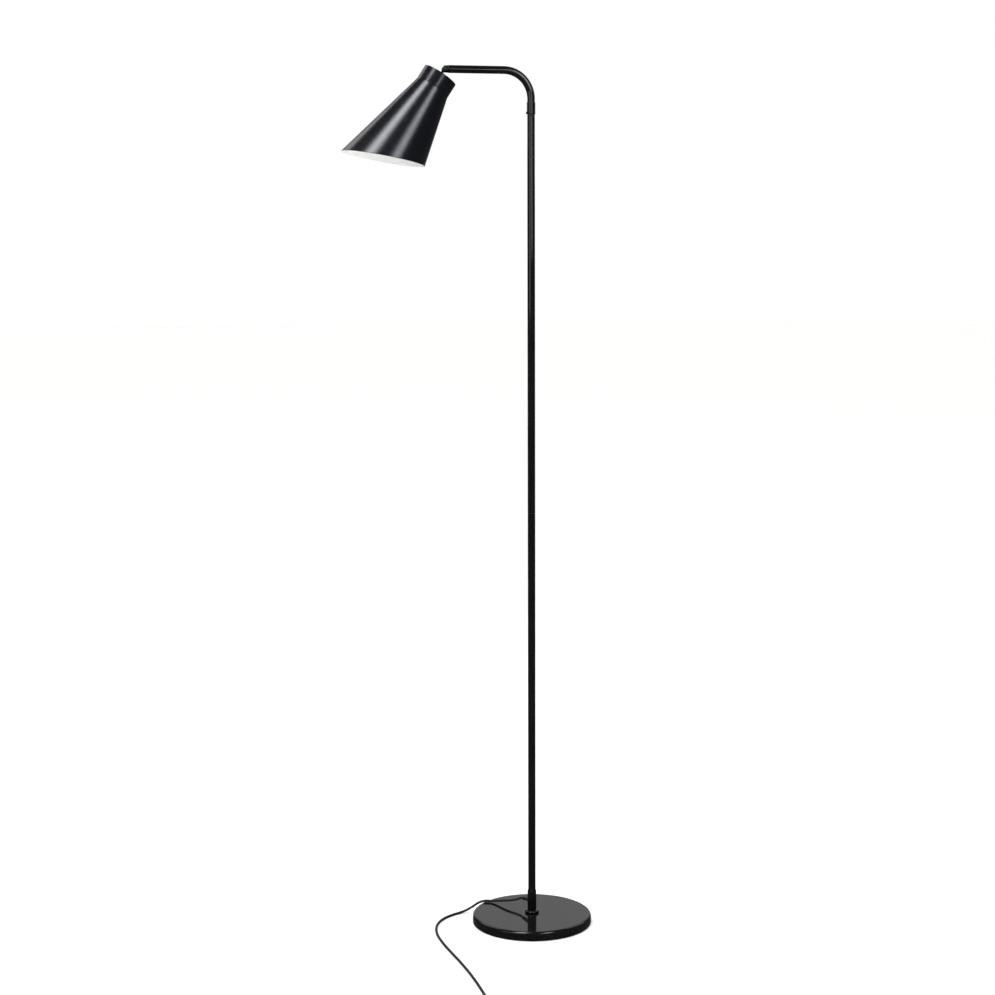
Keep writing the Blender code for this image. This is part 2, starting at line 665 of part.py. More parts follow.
def make_arm(swivel):
    """The arm's pieces, in a frame whose origin is on the swivel axis at the collar's lower face."""
    bore = SPINDLE_RADIUS + GAP
    socket = ARM_RADIUS + GAP
    collar = [
        (bore, 0.0),
        (COLLAR_RADIUS - COLLAR_CHAMFER, 0.0),
        (COLLAR_RADIUS, COLLAR_CHAMFER),
        (COLLAR_RADIUS, COLLAR_HEIGHT - COLLAR_CHAMFER),
        (COLLAR_RADIUS - COLLAR_WALL / 2, COLLAR_HEIGHT),
        (socket, COLLAR_HEIGHT),
        (socket, COLLAR_FLOOR),
        (bore, COLLAR_FLOOR),
    ]
    collar_piece = turned("arm_collar", collar, gloss_black(), ROUND, swivel)
    side = Matrix.Rotation(-math.pi / 2, 4, "Y")
    place = Matrix.Translation((0.0, 0.0, COLLAR_FLOOR / 2))
    hole = turned_mesh("stop_screw_hole", rod_profile(STOP_SCREW_RADIUS + GAP, 0.0, 2 * COLLAR_RADIUS), SMALL)
    boolean(collar_piece, cutter("stop_screw_hole", turn_mesh(hole, place @ side), swivel), "DIFFERENCE")

    tip = SPINDLE_GROOVE_RADIUS + GAP
    head = COLLAR_RADIUS + GAP
    screw = [
        (0.0, tip),
        (STOP_SCREW_RADIUS, tip),
        (STOP_SCREW_RADIUS, head),
        (STOP_HEAD_RADIUS, head),
        (STOP_HEAD_RADIUS, head + 0.6 * STOP_HEAD_HEIGHT),
        (0.6 * STOP_HEAD_RADIUS, head + STOP_HEAD_HEIGHT),
        (0.0, head + STOP_HEAD_HEIGHT),
    ]
    piece = turned("swivel_stop_screw", screw, black_screw(), SMALL, swivel)
    piece.location = (0.0, 0.0, COLLAR_FLOOR / 2)
    piece.rotation_euler = (0.0, -math.pi / 2, 0.0)

    bent_tube("arm_tube", ARM_RADIUS, ARM_INNER, gloss_black(), swivel)

    height = ARM_HEIGHT - COLLAR_BOTTOM
    low = SPINDLE_TOP - COLLAR_BOTTOM + 2 * GAP
    run = [Vector((0.0, 0.0, low)), Vector((0.0, 0.0, height - ARM_BEND_RADIUS))]
    for i in range(1, ARM_BEND_STEPS + 1):
        angle = math.pi / 2 * i / ARM_BEND_STEPS
        run.append(Vector((ARM_BEND_RADIUS * (math.cos(angle) - 1), 0.0,
                           height - ARM_BEND_RADIUS + ARM_BEND_RADIUS * math.sin(angle))))
    run.append(Vector((ARM_END + KNUCKLE_PLUG_LENGTH + 2 * GAP, 0.0, height)))
    cable("arm_cable", run, CABLE_RADIUS, cord_plastic(), parent=swivel)


# ---------------------------------------------------------------- knuckle
def make_knuckle(swivel):
    """The fork in the arm's end, in a frame at the hinge with +X towards the arm."""
    hinge = empty("hinge_point", (-ARM_REACH, 0.0, ARM_HEIGHT - COLLAR_BOTTOM), swivel)
    along = Matrix.Rotation(math.pi / 2, 4, "Y")
    across = Matrix.Rotation(-math.pi / 2, 4, "X")
    shoulder = KNUCKLE_LENGTH - GAP
    neck = FORK_NECK_RADIUS
    body = [
        (0.0, -FORK_NECK_START),
        (neck - FORK_NECK_START, -FORK_NECK_START),
        (neck, 0.0),
        (neck, shoulder - KNUCKLE_SHOULDER - KNUCKLE_TAPER),
        (ARM_RADIUS - COLLAR_CHAMFER, shoulder - KNUCKLE_SHOULDER),
        (ARM_RADIUS, shoulder - KNUCKLE_SHOULDER + COLLAR_CHAMFER),
        (ARM_RADIUS, shoulder),
        (ARM_INNER - GAP, shoulder),
        (ARM_INNER - GAP, shoulder + KNUCKLE_PLUG_LENGTH),
        (0.0, shoulder + KNUCKLE_PLUG_LENGTH),
    ]
    mesh = turn_mesh(turned_mesh("arm_knuckle", body, ROUND), along)
    fork = add_object("arm_knuckle", mesh, gloss_black(), hinge)
    half = FORK_WIDTH / 2
    eye = turn_mesh(turned_mesh("fork_eye", rod_profile(FORK_RADIUS, -half, half), ROUND), across)
    boolean(fork, cutter("fork_eye", eye, hinge), "UNION")
    slot = box_mesh("fork_slot", (-2 * FORK_RADIUS, -FORK_SLOT / 2, -2 * FORK_RADIUS),
                    (TONGUE_RADIUS + 2 * GAP, FORK_SLOT / 2, 2 * FORK_RADIUS))
    boolean(fork, cutter("fork_slot", slot, hinge), "DIFFERENCE")
    hole = turned_mesh("hinge_hole", rod_profile(HINGE_PIN_RADIUS + GAP, -2 * half, 2 * half), SMALL)
    boolean(fork, cutter("hinge_hole", turn_mesh(hole, across), hinge), "DIFFERENCE")

    face = half + GAP
    far_end = face + 1.5 * HINGE_HEAD_HEIGHT
    screw = [
        (0.0, -face - HINGE_HEAD_HEIGHT),
        (0.55 * HINGE_HEAD_RADIUS, -face - HINGE_HEAD_HEIGHT),
        (0.9 * HINGE_HEAD_RADIUS, -face - 0.7 * HINGE_HEAD_HEIGHT),
        (HINGE_HEAD_RADIUS, -face - 0.4 * HINGE_HEAD_HEIGHT),
        (HINGE_HEAD_RADIUS, -face),
        (HINGE_PIN_RADIUS, -face),
        (HINGE_PIN_RADIUS, far_end),
        (0.0, far_end),
    ]
    add_object("hinge_screw", turn_mesh(turned_mesh("hinge_screw", screw, SMALL), across), black_screw(), hinge)
    nut_axis = empty("hinge_nut_axis", (0.0, 0.0, 0.0), hinge, (-math.pi / 2, 0.0, 0.0))
    hexagon_nut("hinge_nut", HINGE_HEAD_RADIUS, HINGE_PIN_RADIUS + GAP, face, face + HINGE_HEAD_HEIGHT,
                black_screw(), nut_axis)
    for side, name in ((-1, "friction_washer_front"), (1, "friction_washer_rear")):
        middle = side * (TONGUE_WIDTH / 2 + GAP + FRICTION_WASHER_THICKNESS / 2)
        low = middle - FRICTION_WASHER_THICKNESS / 2
        high = low + FRICTION_WASHER_THICKNESS
        bore = HINGE_PIN_RADIUS + GAP
        profile = [(bore, low), (TONGUE_RADIUS, low), (TONGUE_RADIUS, high), (bore, high)]
        add_object(name, turn_mesh(turned_mesh(name, profile, SMALL), across), nylon(), hinge)
    return hinge


# ---------------------------------------------------------------- head, down its own axis
def down(profile):
    """Turns (radius, distance from the hinge) into (radius, height) in the head's frame."""
    return [(r, -s) for r, s in profile]


def make_stem(head):
    across = Matrix.Rotation(-math.pi / 2, 4, "X")
    shoulder_end = CARRIER_START - GAP
    shoulder_start = shoulder_end - STEM_SHOULDER_LENGTH
    clear = max(FORK_RADIUS, FORK_NECK_RADIUS) + 2 * GAP
    profile = down([
        (0.0, clear),
        (STEM_RADIUS, clear),
        (STEM_RADIUS, shoulder_start),
        (STEM_SHOULDER_RADIUS, shoulder_start),
        (STEM_SHOULDER_RADIUS, shoulder_end),
        (STEM_RADIUS, shoulder_end),
        (STEM_RADIUS, STEM_END),
        (0.0, STEM_END),
    ])
    stem = turned("head_stem", profile, gloss_black(), SMALL, head)
    half = TONGUE_WIDTH / 2
    eye = turn_mesh(turned_mesh("tongue_eye", rod_profile(TONGUE_RADIUS, -half, half), SMALL), across)
    boolean(stem, cutter("tongue_eye", eye, head), "UNION")
    blade_half = 0.92 * STEM_RADIUS
    blade = box_mesh("tongue_blade", (-blade_half, -half, -clear - STEM_RADIUS), (blade_half, half, 0.0))
    boolean(stem, cutter("tongue_blade", blade, head), "UNION")
    hole = turned_mesh("tongue_hole", rod_profile(HINGE_PIN_RADIUS + GAP, -4 * half, 4 * half), SMALL)
    boolean(stem, cutter("tongue_hole", turn_mesh(hole, across), head), "DIFFERENCE")


def make_shade(head):
    wall = SHADE_WALL
    slope = math.tan(CONE_HALF_ANGLE)
    end = SHADE_LONG_SIDE + TRIM_ALLOWANCE
    fillet_half = CREASE_RADIUS * math.tan(CONE_HALF_ANGLE / 2)
    centre = COLLAR_TOP_RADIUS + CREASE_RADIUS
    turn = math.degrees(CONE_HALF_ANGLE)

    def cone(s):
        return COLLAR_TOP_RADIUS + slope * (s - CREASE_AT)

    crease = CREASE_AT - fillet_half
    outer = [(COLLAR_TOP_RADIUS - wall / 2, SHADE_START), (COLLAR_TOP_RADIUS, SHADE_START + wall / 2)]
    outer += arc(centre, crease, CREASE_RADIUS, 180, 180 - turn)
    outer.append((cone(end), end))
    inner = [(cone(end) - wall / math.cos(CONE_HALF_ANGLE), end)]
    inner += arc(centre, crease, CREASE_RADIUS + wall, 180 - turn, 180)
    inner += [
        (COLLAR_TOP_RADIUS - wall, SHADE_START + wall),
        (COLLAR_TOP_RADIUS - SHADE_LIP_WIDTH, SHADE_START + wall),
        (COLLAR_TOP_RADIUS - SHADE_LIP_WIDTH, SHADE_START),
    ]
    shade = turned("shade", down(outer + inner), shade_lacquer(), FINE, head)

    long_radius = cone(SHADE_LONG_SIDE)
    short_radius = cone(SHADE_SHORT_SIDE)
    rise = SHADE_LONG_SIDE - SHADE_SHORT_SIDE
    angle = math.atan2(rise, long_radius + short_radius)
    size = 4 * long_radius
    block = box_mesh("rim_cut", (-size, -size, -size), (size, size, 0.0))
    place = Matrix.Translation((-long_radius, 0.0, -SHADE_LONG_SIDE)) @ Matrix.Rotation(-angle, 4, "Y")
    boolean(shade, cutter("rim_cut", turn_mesh(block, place), head), "DIFFERENCE")


def make_carrier(head):
    bore = STEM_RADIUS + GAP
    edge = COLLAR_TOP_RADIUS - SHADE_WALL - GAP
    profile = down([(bore, CARRIER_START), (edge, CARRIER_START), (edge, CARRIER_END), (bore, CARRIER_END)])
    carrier = turned("shade_carrier", profile, gloss_black(), ROUND, head)
    for i in range(VENT_COUNT):
        angle = math.tau * (i + 0.5) / VENT_COUNT
        name = f"vent_{i + 1}"
        mesh = turned_mesh(name, rod_profile(VENT_RADIUS, -2 * CARRIER_END, 0.0), 8)
        place = Matrix.Translation((VENT_CIRCLE_RADIUS * math.cos(angle), VENT_CIRCLE_RADIUS * math.sin(angle), 0.0))
        boolean(carrier, cutter(name, turn_mesh(mesh, place), head), "DIFFERENCE")
    hexagon_nut("stem_nut", STEM_NUT_RADIUS, bore, -STEM_NUT_START - STEM_NUT_HEIGHT, -STEM_NUT_START,
                steel(), head)


def make_lampholder(head):
    start = HOLDER_CAP_START
    end = start + HOLDER_CAP_HEIGHT
    bore = STEM_RADIUS + GAP
    wall = HOLDER_WALL
    cap = down([
        (bore, start),
        (HOLDER_NECK_RADIUS, start),
        (HOLDER_NECK_RADIUS + 0.0004, start + 0.0040),
        (0.75 * HOLDER_RADIUS, start + 0.0052),
        (HOLDER_RADIUS - 0.0010, start + 0.0080),
        (HOLDER_RADIUS, start + 0.0100),
        (HOLDER_RADIUS, end),
        (HOLDER_RADIUS - wall, end),
        (HOLDER_RADIUS - wall - 0.0008, start + 0.0095),
        (bore, start + 0.0070),
    ])
    turned("lampholder_cap", cap, black_plastic(), ROUND, head)
    start = HOLDER_BODY_START
    end = start + HOLDER_BODY_HEIGHT
    body = down([
        (HOLDER_RADIUS - wall, start),
        (HOLDER_RADIUS, start),
        (HOLDER_RADIUS, end - 0.0010),
        (HOLDER_RADIUS - 0.0006, end),
        (HOLDER_RADIUS - wall, end),
    ])
    turned("lampholder_body", body, black_plastic(), ROUND, head)
    core = HOLDER_RADIUS - wall - GAP
    turned("lampholder_core", down(rod_profile(core, CORE_START, CORE_START + CORE_THICKNESS)),
           finish_material("steatite", (0.85, 0.83, 0.78), 0.35), ROUND, head)
    tube("contact_sleeve", SLEEVE_RADIUS, SLEEVE_RADIUS - SLEEVE_WALL, -SLEEVE_START - SLEEVE_LENGTH,
         -SLEEVE_START, brass(), ROUND, head)
    turned("centre_contact", down(rod_profile(CONTACT_RADIUS, SLEEVE_START, SLEEVE_START + CONTACT_THICKNESS)),
           brass(), SMALL, head)


def make_bulb(head):
    start = BULB_CAP_START
    end = start + BULB_CAP_LENGTH
    cap = down([
        (0.0, start),
        (0.9 * CONTACT_RADIUS, start),
        (CONTACT_RADIUS, start + 0.0012),
        (0.8 * BULB_CAP_RADIUS, start + 0.0032),
        (BULB_CAP_RADIUS, start + 0.0055),
        (BULB_CAP_RADIUS, end),
        (0.0, end),
    ])
    turned("bulb_cap", cap, steel(), ROUND, head)
    start = BULB_START
    centre = start + BULB_LENGTH - BULB_RADIUS
    neck = BULB_CAP_RADIUS + GAP
    glass = [(0.0, start), (BULB_CAP_RADIUS, start), (neck, start + 0.0030)]
    glass += arc(0.0, centre, BULB_RADIUS, -math.degrees(math.acos(neck / BULB_RADIUS)), 80, 8)
    glass.append((0.0, centre + BULB_RADIUS))
    turned("bulb_glass", down(glass), finish_material("opal_glass", (0.9, 0.9, 0.88), 0.25), ROUND, head)


# ---------------------------------------------------------------- what lies on the lead
def make_foot_switch():
    centre = SWITCH_CENTRE
    wall = SWITCH_WALL
    seam = SWITCH_BASE_HEIGHT
    cup = [
        (0.0, 0.0),
        (SWITCH_RADIUS - SWITCH_EDGE, 0.0),
        (SWITCH_RADIUS, SWITCH_EDGE),
        (SWITCH_RADIUS, seam),
        (SWITCH_RADIUS - wall, seam),
        (SWITCH_RADIUS - wall, wall),
        (0.0, wall),
    ]
    base = turned("foot_switch_base", cup, black_plastic(), ROUND)
    base.location = centre
    low = seam + GAP
    top = low + SWITCH_COVER_HEIGHT
    window = BUTTON_RADIUS + GAP
    lid = [
        (SWITCH_RADIUS - wall, low),
        (SWITCH_RADIUS, low),
        (SWITCH_RADIUS - 0.0006, low + 0.0030),
        (SWITCH_RADIUS - 0.0040, low + 0.0066),
        (0.6 * SWITCH_RADIUS, top - 0.0004),
        (window, top),
        (window, top - wall),
        (0.6 * SWITCH_RADIUS, top - wall - 0.0004),
        (SWITCH_RADIUS - 0.0040 - wall, low + 0.0060),
    ]
    turned("foot_switch_cover", lid, black_plastic(), ROUND).location = centre

    flange_top = top - wall - GAP
    button_top = top + BUTTON_STAND
    flange = BUTTON_RADIUS + BUTTON_FLANGE
    flange_bottom = flange_top - BUTTON_FLANGE_HEIGHT
    button = [
        (0.0, flange_bottom),
        (flange, flange_bottom),
        (flange, flange_top),
        (BUTTON_RADIUS, flange_top),
        (BUTTON_RADIUS, button_top - BUTTON_EDGE),
        (BUTTON_RADIUS - BUTTON_EDGE, button_top - GAP),
        (0.0, button_top),
    ]
    turned("foot_switch_button", button, black_plastic(), ROUND).location = centre

    block_top = flange_bottom - BUTTON_TRAVEL - SPRING_SPACE
    block = rod_profile(CONTACT_BLOCK_RADIUS, wall + GAP, block_top)
    turned("foot_switch_contact_block", block, nylon(), SMALL).location = centre
    first = block_top + GAP + SPRING_WIRE
    last = flange_bottom - GAP - SPRING_WIRE
    count = SPRING_TURNS * SPRING_TURN_STEPS
    helix = []
    for i in range(count + 1):
        angle = math.tau * i / SPRING_TURN_STEPS
        height = first + (last - first) * i / count
        helix.append(Vector((SPRING_RADIUS * math.cos(angle), SPRING_RADIUS * math.sin(angle), height)))
    cable("foot_switch_spring", helix, SPRING_WIRE, steel(), 1).location = centre

    for side, name in ((1, "foot_switch_inlet_relief"), (-1, "foot_switch_outlet_relief")):
        turn = Matrix.Rotation(-side * math.pi / 2, 4, "X")
        hole = turned_mesh(name + "_hole", rod_profile(RELIEF_BARREL_RADIUS + GAP, 0.5 * SWITCH_RADIUS,
                                                       1.5 * SWITCH_RADIUS), SMALL)
        place = Matrix.Translation(centre + Vector((0.0, 0.0, SWITCH_CORD_HEIGHT)))
        boolean(base, cutter(name + "_hole", turn_mesh(hole, place @ turn)), "DIFFERENCE")
        face = SWITCH_RADIUS + GAP
        tail = face + SWITCH_RELIEF_LENGTH
        relief = turned(name, relief_profile(SWITCH_RADIUS - 2 * wall, face, tail), cord_plastic(), SMALL)
        relief.location = centre + Vector((0.0, 0.0, SWITCH_CORD_HEIGHT))
        relief.rotation_euler = (-side * math.pi / 2, 0.0, 0.0)
    offset = Vector((0.0, SWITCH_RADIUS + GAP + SWITCH_RELIEF_LENGTH + GAP, SWITCH_CORD_HEIGHT))
    return centre + offset, centre + Vector((0.0, -offset.y, offset.z))


def make_plug():
    """A flat two-pin plug that lies on the floor and points along +Y."""
    meeting = PLUG_END
    relief_start = meeting.y + GAP
    body_start = relief_start + PLUG_RELIEF_LENGTH
    body_end = body_start + PLUG_LENGTH
    middle = Vector((meeting.x, 0.0, FLOOR_GAP + PLUG_HEIGHT / 2))
    bm = bmesh.new()
    rows = ((body_start, 0.45, 0.62), (body_start + 0.3 * PLUG_LENGTH, 0.82, 0.86), (body_end - 0.0030, 1.0, 1.0),
            (body_end, 0.97, 0.96))
    loops = []
    for y, wide, high in rows:
        made = bmesh.ops.create_circle(bm, cap_ends=False, segments=SMALL, radius=1.0)["verts"]
        for vert in made:
            across, up = vert.co.x, vert.co.y
            size = (abs(across) ** 3 + abs(up) ** 3) ** (1 / 3)
            vert.co = Vector((
                middle.x + wide * PLUG_WIDTH / 2 * across / size,
                y,
                middle.z + high * PLUG_HEIGHT / 2 * up / size,
            ))
        loops.append(made)
    for near, far in zip(loops, loops[1:]):
        count = len(near)
        for i in range(count):
            bm.faces.new((near[i], near[(i + 1) % count], far[(i + 1) % count], far[i]))
    bmesh.ops.contextual_create(bm, geom=loops[-1])
    bmesh.ops.contextual_create(bm, geom=loops[0])
    bmesh.ops.recalc_face_normals(bm, faces=bm.faces)
    mesh = bpy.data.meshes.new("plug_body")
    bm.to_mesh(mesh)
    bm.free()
    body = add_object("plug_body", mesh, black_plastic())
    along = Matrix.Rotation(-math.pi / 2, 4, "X")
    tail = turned_mesh("plug_tail", [
        (0.0, relief_start),
        (RELIEF_TIP_RADIUS, relief_start),
        (RELIEF_HEAD_RADIUS, body_start + 0.0040),
        (0.0, body_start + 0.0040),
    ], SMALL)
    boolean(body, cutter("plug_tail", turn_mesh(tail, Matrix.Translation(middle) @ along)), "UNION")
    for side, name in ((-1, "plug_pin_left"), (1, "plug_pin_right")):
        place = Matrix.Translation(middle + Vector((side * PLUG_PIN_SPACING / 2, 0.0, 0.0)))
        pocket = rod_profile(PLUG_PIN_RADIUS + GAP, body_end - PLUG_PIN_DEPTH, body_end + PLUG_PIN_DEPTH)
        socket = turned_mesh(name + "_socket", pocket, SMALL)
        boolean(body, cutter(name + "_socket", turn_mesh(socket, place @ along)), "DIFFERENCE")
        pin = turned(name, [
            (0.0, body_end - PLUG_PIN_DEPTH + GAP),
            (PLUG_PIN_RADIUS, body_end - PLUG_PIN_DEPTH + GAP),
            (PLUG_PIN_RADIUS, body_end + PLUG_PIN_LENGTH - 0.0010),
            (0.6 * PLUG_PIN_RADIUS, body_end + PLUG_PIN_LENGTH),
            (0.0, body_end + PLUG_PIN_LENGTH),
        ], brass(), SMALL)
        pin.location = middle + Vector((side * PLUG_PIN_SPACING / 2, 0.0, 0.0))
        pin.rotation_euler = (-math.pi / 2, 0.0, 0.0)


def make_cord(lamp_exit, lamp_way, switch_in, switch_out):
    spacing = 2.9 * CORD_DIAMETER
    lead = [lamp_exit, lamp_exit + lamp_way * CORD_DIAMETER, *(Vector(p) for p in LEAD_ROUTE), switch_in]
    cable("cord_lead", smooth_line(lead, spacing, CORD_RADIUS), CORD_RADIUS, cord_plastic())

    width = COIL_TURNS_WIDE * CORD_DIAMETER / 2
    inner = COIL_MEAN_RADIUS - width
    outer = COIL_MEAN_RADIUS + width
    height = COIL_LAYERS * CORD_DIAMETER
    ring = [(inner, 0.0), (outer, 0.0), (outer, height), (inner, height)]
    coil = turned("cord_coil", ring, cord_plastic(), ROUND)
    coil.location = COIL_CENTRE + Vector((0.0, 0.0, FLOOR_GAP))

    turn_radius = outer - CORD_RADIUS
    clear = math.sqrt((outer + GAP) ** 2 - (turn_radius - CORD_RADIUS) ** 2) + GAP
    coil_in = COIL_CENTRE + Vector((-clear, -turn_radius, CORD_ON_FLOOR))
    coil_out = COIL_CENTRE + Vector((turn_radius, clear, CORD_ON_FLOOR + CORD_DIAMETER))
    middle = [switch_out, *(Vector(p) for p in MIDDLE_ROUTE), coil_in]
    cable("cord_middle", smooth_line(middle, spacing, CORD_RADIUS), CORD_RADIUS, cord_plastic())
    end = [coil_out, *(Vector(p) for p in END_ROUTE), PLUG_END]
    cable("cord_end", smooth_line(end, spacing, CORD_RADIUS), CORD_RADIUS, cord_plastic())


def main():
    for obj in list(bpy.data.objects):
        bpy.data.objects.remove(obj, do_unlink=True)
    make_base()
    lamp_exit, lamp_way = make_foot()
    make_pole()
    make_swivel_seat()
    swivel = empty("arm_swivel_axis", (0.0, 0.0, COLLAR_BOTTOM))
    make_arm(swivel)
    hinge = make_knuckle(swivel)
    head = empty("head_tilt_axis", (0.0, 0.0, 0.0), hinge, (0.0, REST_TILT, 0.0))
    make_stem(head)
    make_shade(head)
    make_carrier(head)
    make_lampholder(head)
    make_bulb(head)
    switch_in, switch_out = make_foot_switch()
    make_plug()
    make_cord(lamp_exit, lamp_way, switch_in, switch_out)


main()
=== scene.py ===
"""Floor lamp with a swivelling bent arm and a tilting shade: the finished surfaces.

Each operator makes one piece, or one group of like pieces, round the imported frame. Units are
metres, +Z is up, and the lamp stands at the origin with its arm along -X.
"""

import json
import math

import bmesh
import bpy
from bpy.props import FloatProperty, FloatVectorProperty, IntProperty, PointerProperty
from mathutils import Matrix, Vector


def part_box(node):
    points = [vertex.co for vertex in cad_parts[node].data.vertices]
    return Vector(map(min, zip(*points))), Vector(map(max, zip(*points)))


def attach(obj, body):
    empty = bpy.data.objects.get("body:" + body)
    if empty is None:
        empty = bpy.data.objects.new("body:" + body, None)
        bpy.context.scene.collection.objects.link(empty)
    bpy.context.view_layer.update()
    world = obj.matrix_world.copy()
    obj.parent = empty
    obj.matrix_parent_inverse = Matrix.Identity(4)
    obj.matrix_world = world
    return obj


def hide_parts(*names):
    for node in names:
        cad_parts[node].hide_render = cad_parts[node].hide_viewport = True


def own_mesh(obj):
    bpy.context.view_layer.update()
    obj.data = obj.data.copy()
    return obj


bl_info = {
    "name": "Bent-arm floor lamp",
    "version": (1, 0, 0),
    "blender": (4, 5, 0),
    "location": "View3D > Sidebar > Floor lamp",
    "description": "Builds the finished surfaces of a bent-arm floor lamp",
    "category": "Add Mesh",
}

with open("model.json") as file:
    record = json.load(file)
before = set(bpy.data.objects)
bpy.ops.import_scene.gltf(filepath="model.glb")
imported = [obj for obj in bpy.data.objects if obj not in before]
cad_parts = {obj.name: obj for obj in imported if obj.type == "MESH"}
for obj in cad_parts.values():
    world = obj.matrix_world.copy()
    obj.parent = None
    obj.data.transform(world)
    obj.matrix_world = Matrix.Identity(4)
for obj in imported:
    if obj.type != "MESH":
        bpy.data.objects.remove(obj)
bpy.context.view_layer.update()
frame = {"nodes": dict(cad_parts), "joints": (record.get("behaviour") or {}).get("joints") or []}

FINE = 128        # segments round the shade and the base
ROUND = 64        # segments round a tube or a turned fitting
SMALL = 32        # segments round a screw
UP = Vector((0.0, 0.0, 1.0))
ALONG = Vector((1.0, 0.0, 0.0))
ACROSS = Vector((0.0, 1.0, 0.0))
GAP = 0.0003      # clearance between neighbouring pieces
TUBE_WALL = 0.0010
SHELL_WALL = 0.0016             # of the switch and the lampholder
PIN_RADIUS = 0.0015             # the hinge bolt's shank
VENT_RADIUS = 0.0035
VENT_CIRCLE = 0.0185
SHARP = math.radians(35.0)      # edges steeper than this stay sharp
SUPPORT = 0.0004                # from a soft corner to the point that supports it


# ---------------------------------------------------------------- where the frame puts things
def joint(name):
    return next(j for j in frame["joints"] if j["name"] == name)


def extent(node, origin, way):
    """How far a node reaches along a line, and how far from it: start, end, outer radius, inner radius."""
    low, high, wide, narrow = 1e9, -1e9, 0.0, 1e9
    for vert in frame["nodes"][node].data.vertices:
        place = vert.co - origin
        along = place.dot(way)
        radius = (place - along * way).length
        low, high = min(low, along), max(high, along)
        wide, narrow = max(wide, radius), min(narrow, radius)
    return low, high, wide, narrow


def about_pole(node):
    return extent(node, FLOOR_ORIGIN, UP)


def along_head(node):
    return extent(node, HINGE, DOWN_HEAD)


def middle(node):
    low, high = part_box(node)
    return (low + high) / 2


HINGE = Vector(joint("head_tilt")["pos_m"])
DOWN_HEAD = (middle("contact_sleeve") - HINGE).normalized()
FLOOR_ORIGIN = Vector((0.0, 0.0, 0.0))


def frame_along(origin, way, side=ACROSS):
    """A matrix that puts local +Z along way and local +Y along side."""
    third = side.cross(way).normalized()
    turned_side = way.cross(third)
    turn = Matrix((third, turned_side, way)).transposed().to_4x4()
    return Matrix.Translation(origin) @ turn


HEAD = frame_along(HINGE, DOWN_HEAD)


# ---------------------------------------------------------------- what a user may change
def colour(name, description, *default):
    return FloatVectorProperty(name=name, description=description, subtype="COLOR", size=3, min=0.0, max=1.0,
                               default=default)


def length(name, description, default):
    return FloatProperty(name=name, description=description, unit="LENGTH", default=default)


class LampColours(bpy.types.PropertyGroup):
    lacquer: colour("Lacquer", "Gloss lacquer on the pole, arm and base", 0.0030, 0.0031, 0.0035)
    shade_outside: colour("Shade outside", "Lacquer on the outside of the shade", 0.0034, 0.0040, 0.0056)
    shade_inside: colour("Shade inside", "Satin paint on the inside of the shade", 0.83, 0.83, 0.82)
    cord: colour("Cord", "Sheath of the mains lead and its strain reliefs", 0.010, 0.010, 0.0105)
    plastic: colour("Plastic", "Moulded switch, plug and lampholder", 0.014, 0.014, 0.0145)
    floor: colour("Floor", "Plain studio floor", 0.80, 0.80, 0.79)


class LampSizes(bpy.types.PropertyGroup):
    base_edge: length("Base edge", "Radius of the base cover's rolled edge", 0.0050)
    cover_wall: length("Cover wall", "Thickness of the base cover's steel", 0.0012)
    shade_collar: length("Shade collar", "Length of the straight collar above the cone", 0.0261)
    shade_wall: length("Shade wall", "Thickness of the spun shade", 0.0010)
    shade_lip: length("Shade lip", "Width of the lip turned in at the collar's top", 0.0030)
    crease_radius: length("Crease radius", "Radius where the collar turns into the cone", 0.0050)
    cone_angle: FloatProperty(
        name="Cone angle", description="Angle between the shade's axis and its side", unit="ROTATION",
        default=math.radians(13.9),
    )
    long_side: length("Long side", "Hinge to the rim, away from the pole", 0.2108)
    short_side: length("Short side", "Hinge to the rim, on the pole's side", 0.1562)
    bend_radius: length("Bend radius", "Radius of the arm's bend, to its centre line", 0.0470)
    cord_diameter: length("Cord diameter", "Outside diameter of the round mains lead", 0.0044)
    vent_count: IntProperty(name="Vents", description="Air holes in the shade's carrier plate", default=6)
    relief_ribs: IntProperty(name="Relief ribs", description="Ribs along a strain relief", default=7)


# ---------------------------------------------------------------- meshes
def profile_arc(centre_r, centre_s, radius, start, end, steps=8):
    """Points of an arc in the (radius, distance along) plane, angles in degrees."""
    points = []
    for i in range(steps + 1):
        angle = math.radians(start + (end - start) * i / steps)
        points.append((centre_r + radius * math.cos(angle), centre_s + radius * math.sin(angle)))
    return points


def softened(corners, radius, steps=3):
    """The same closed outline with each corner off the axis rounded by up to radius."""
    outline = []
    count = len(corners)
    for i, corner in enumerate(corners):
        if corner[0] < 1e-7:
            outline.append(corner)
            continue
        here = Vector(corner)
        before = Vector(corners[i - 1]) - here
        after = Vector(corners[(i + 1) % count]) - here
        cut = min(radius, 0.4 * before.length, 0.4 * after.length)
        if before.angle(after) > math.radians(150):
            outline.append(corner)
            continue
        first = here + before.normalized() * cut
        last = here + after.normalized() * cut
        for k in range(steps + 1):
            t = k / steps
            point = first * (1 - t) ** 2 + here * 2 * t * (1 - t) + last * t ** 2
            outline.append((point.x, point.y))
    return outline


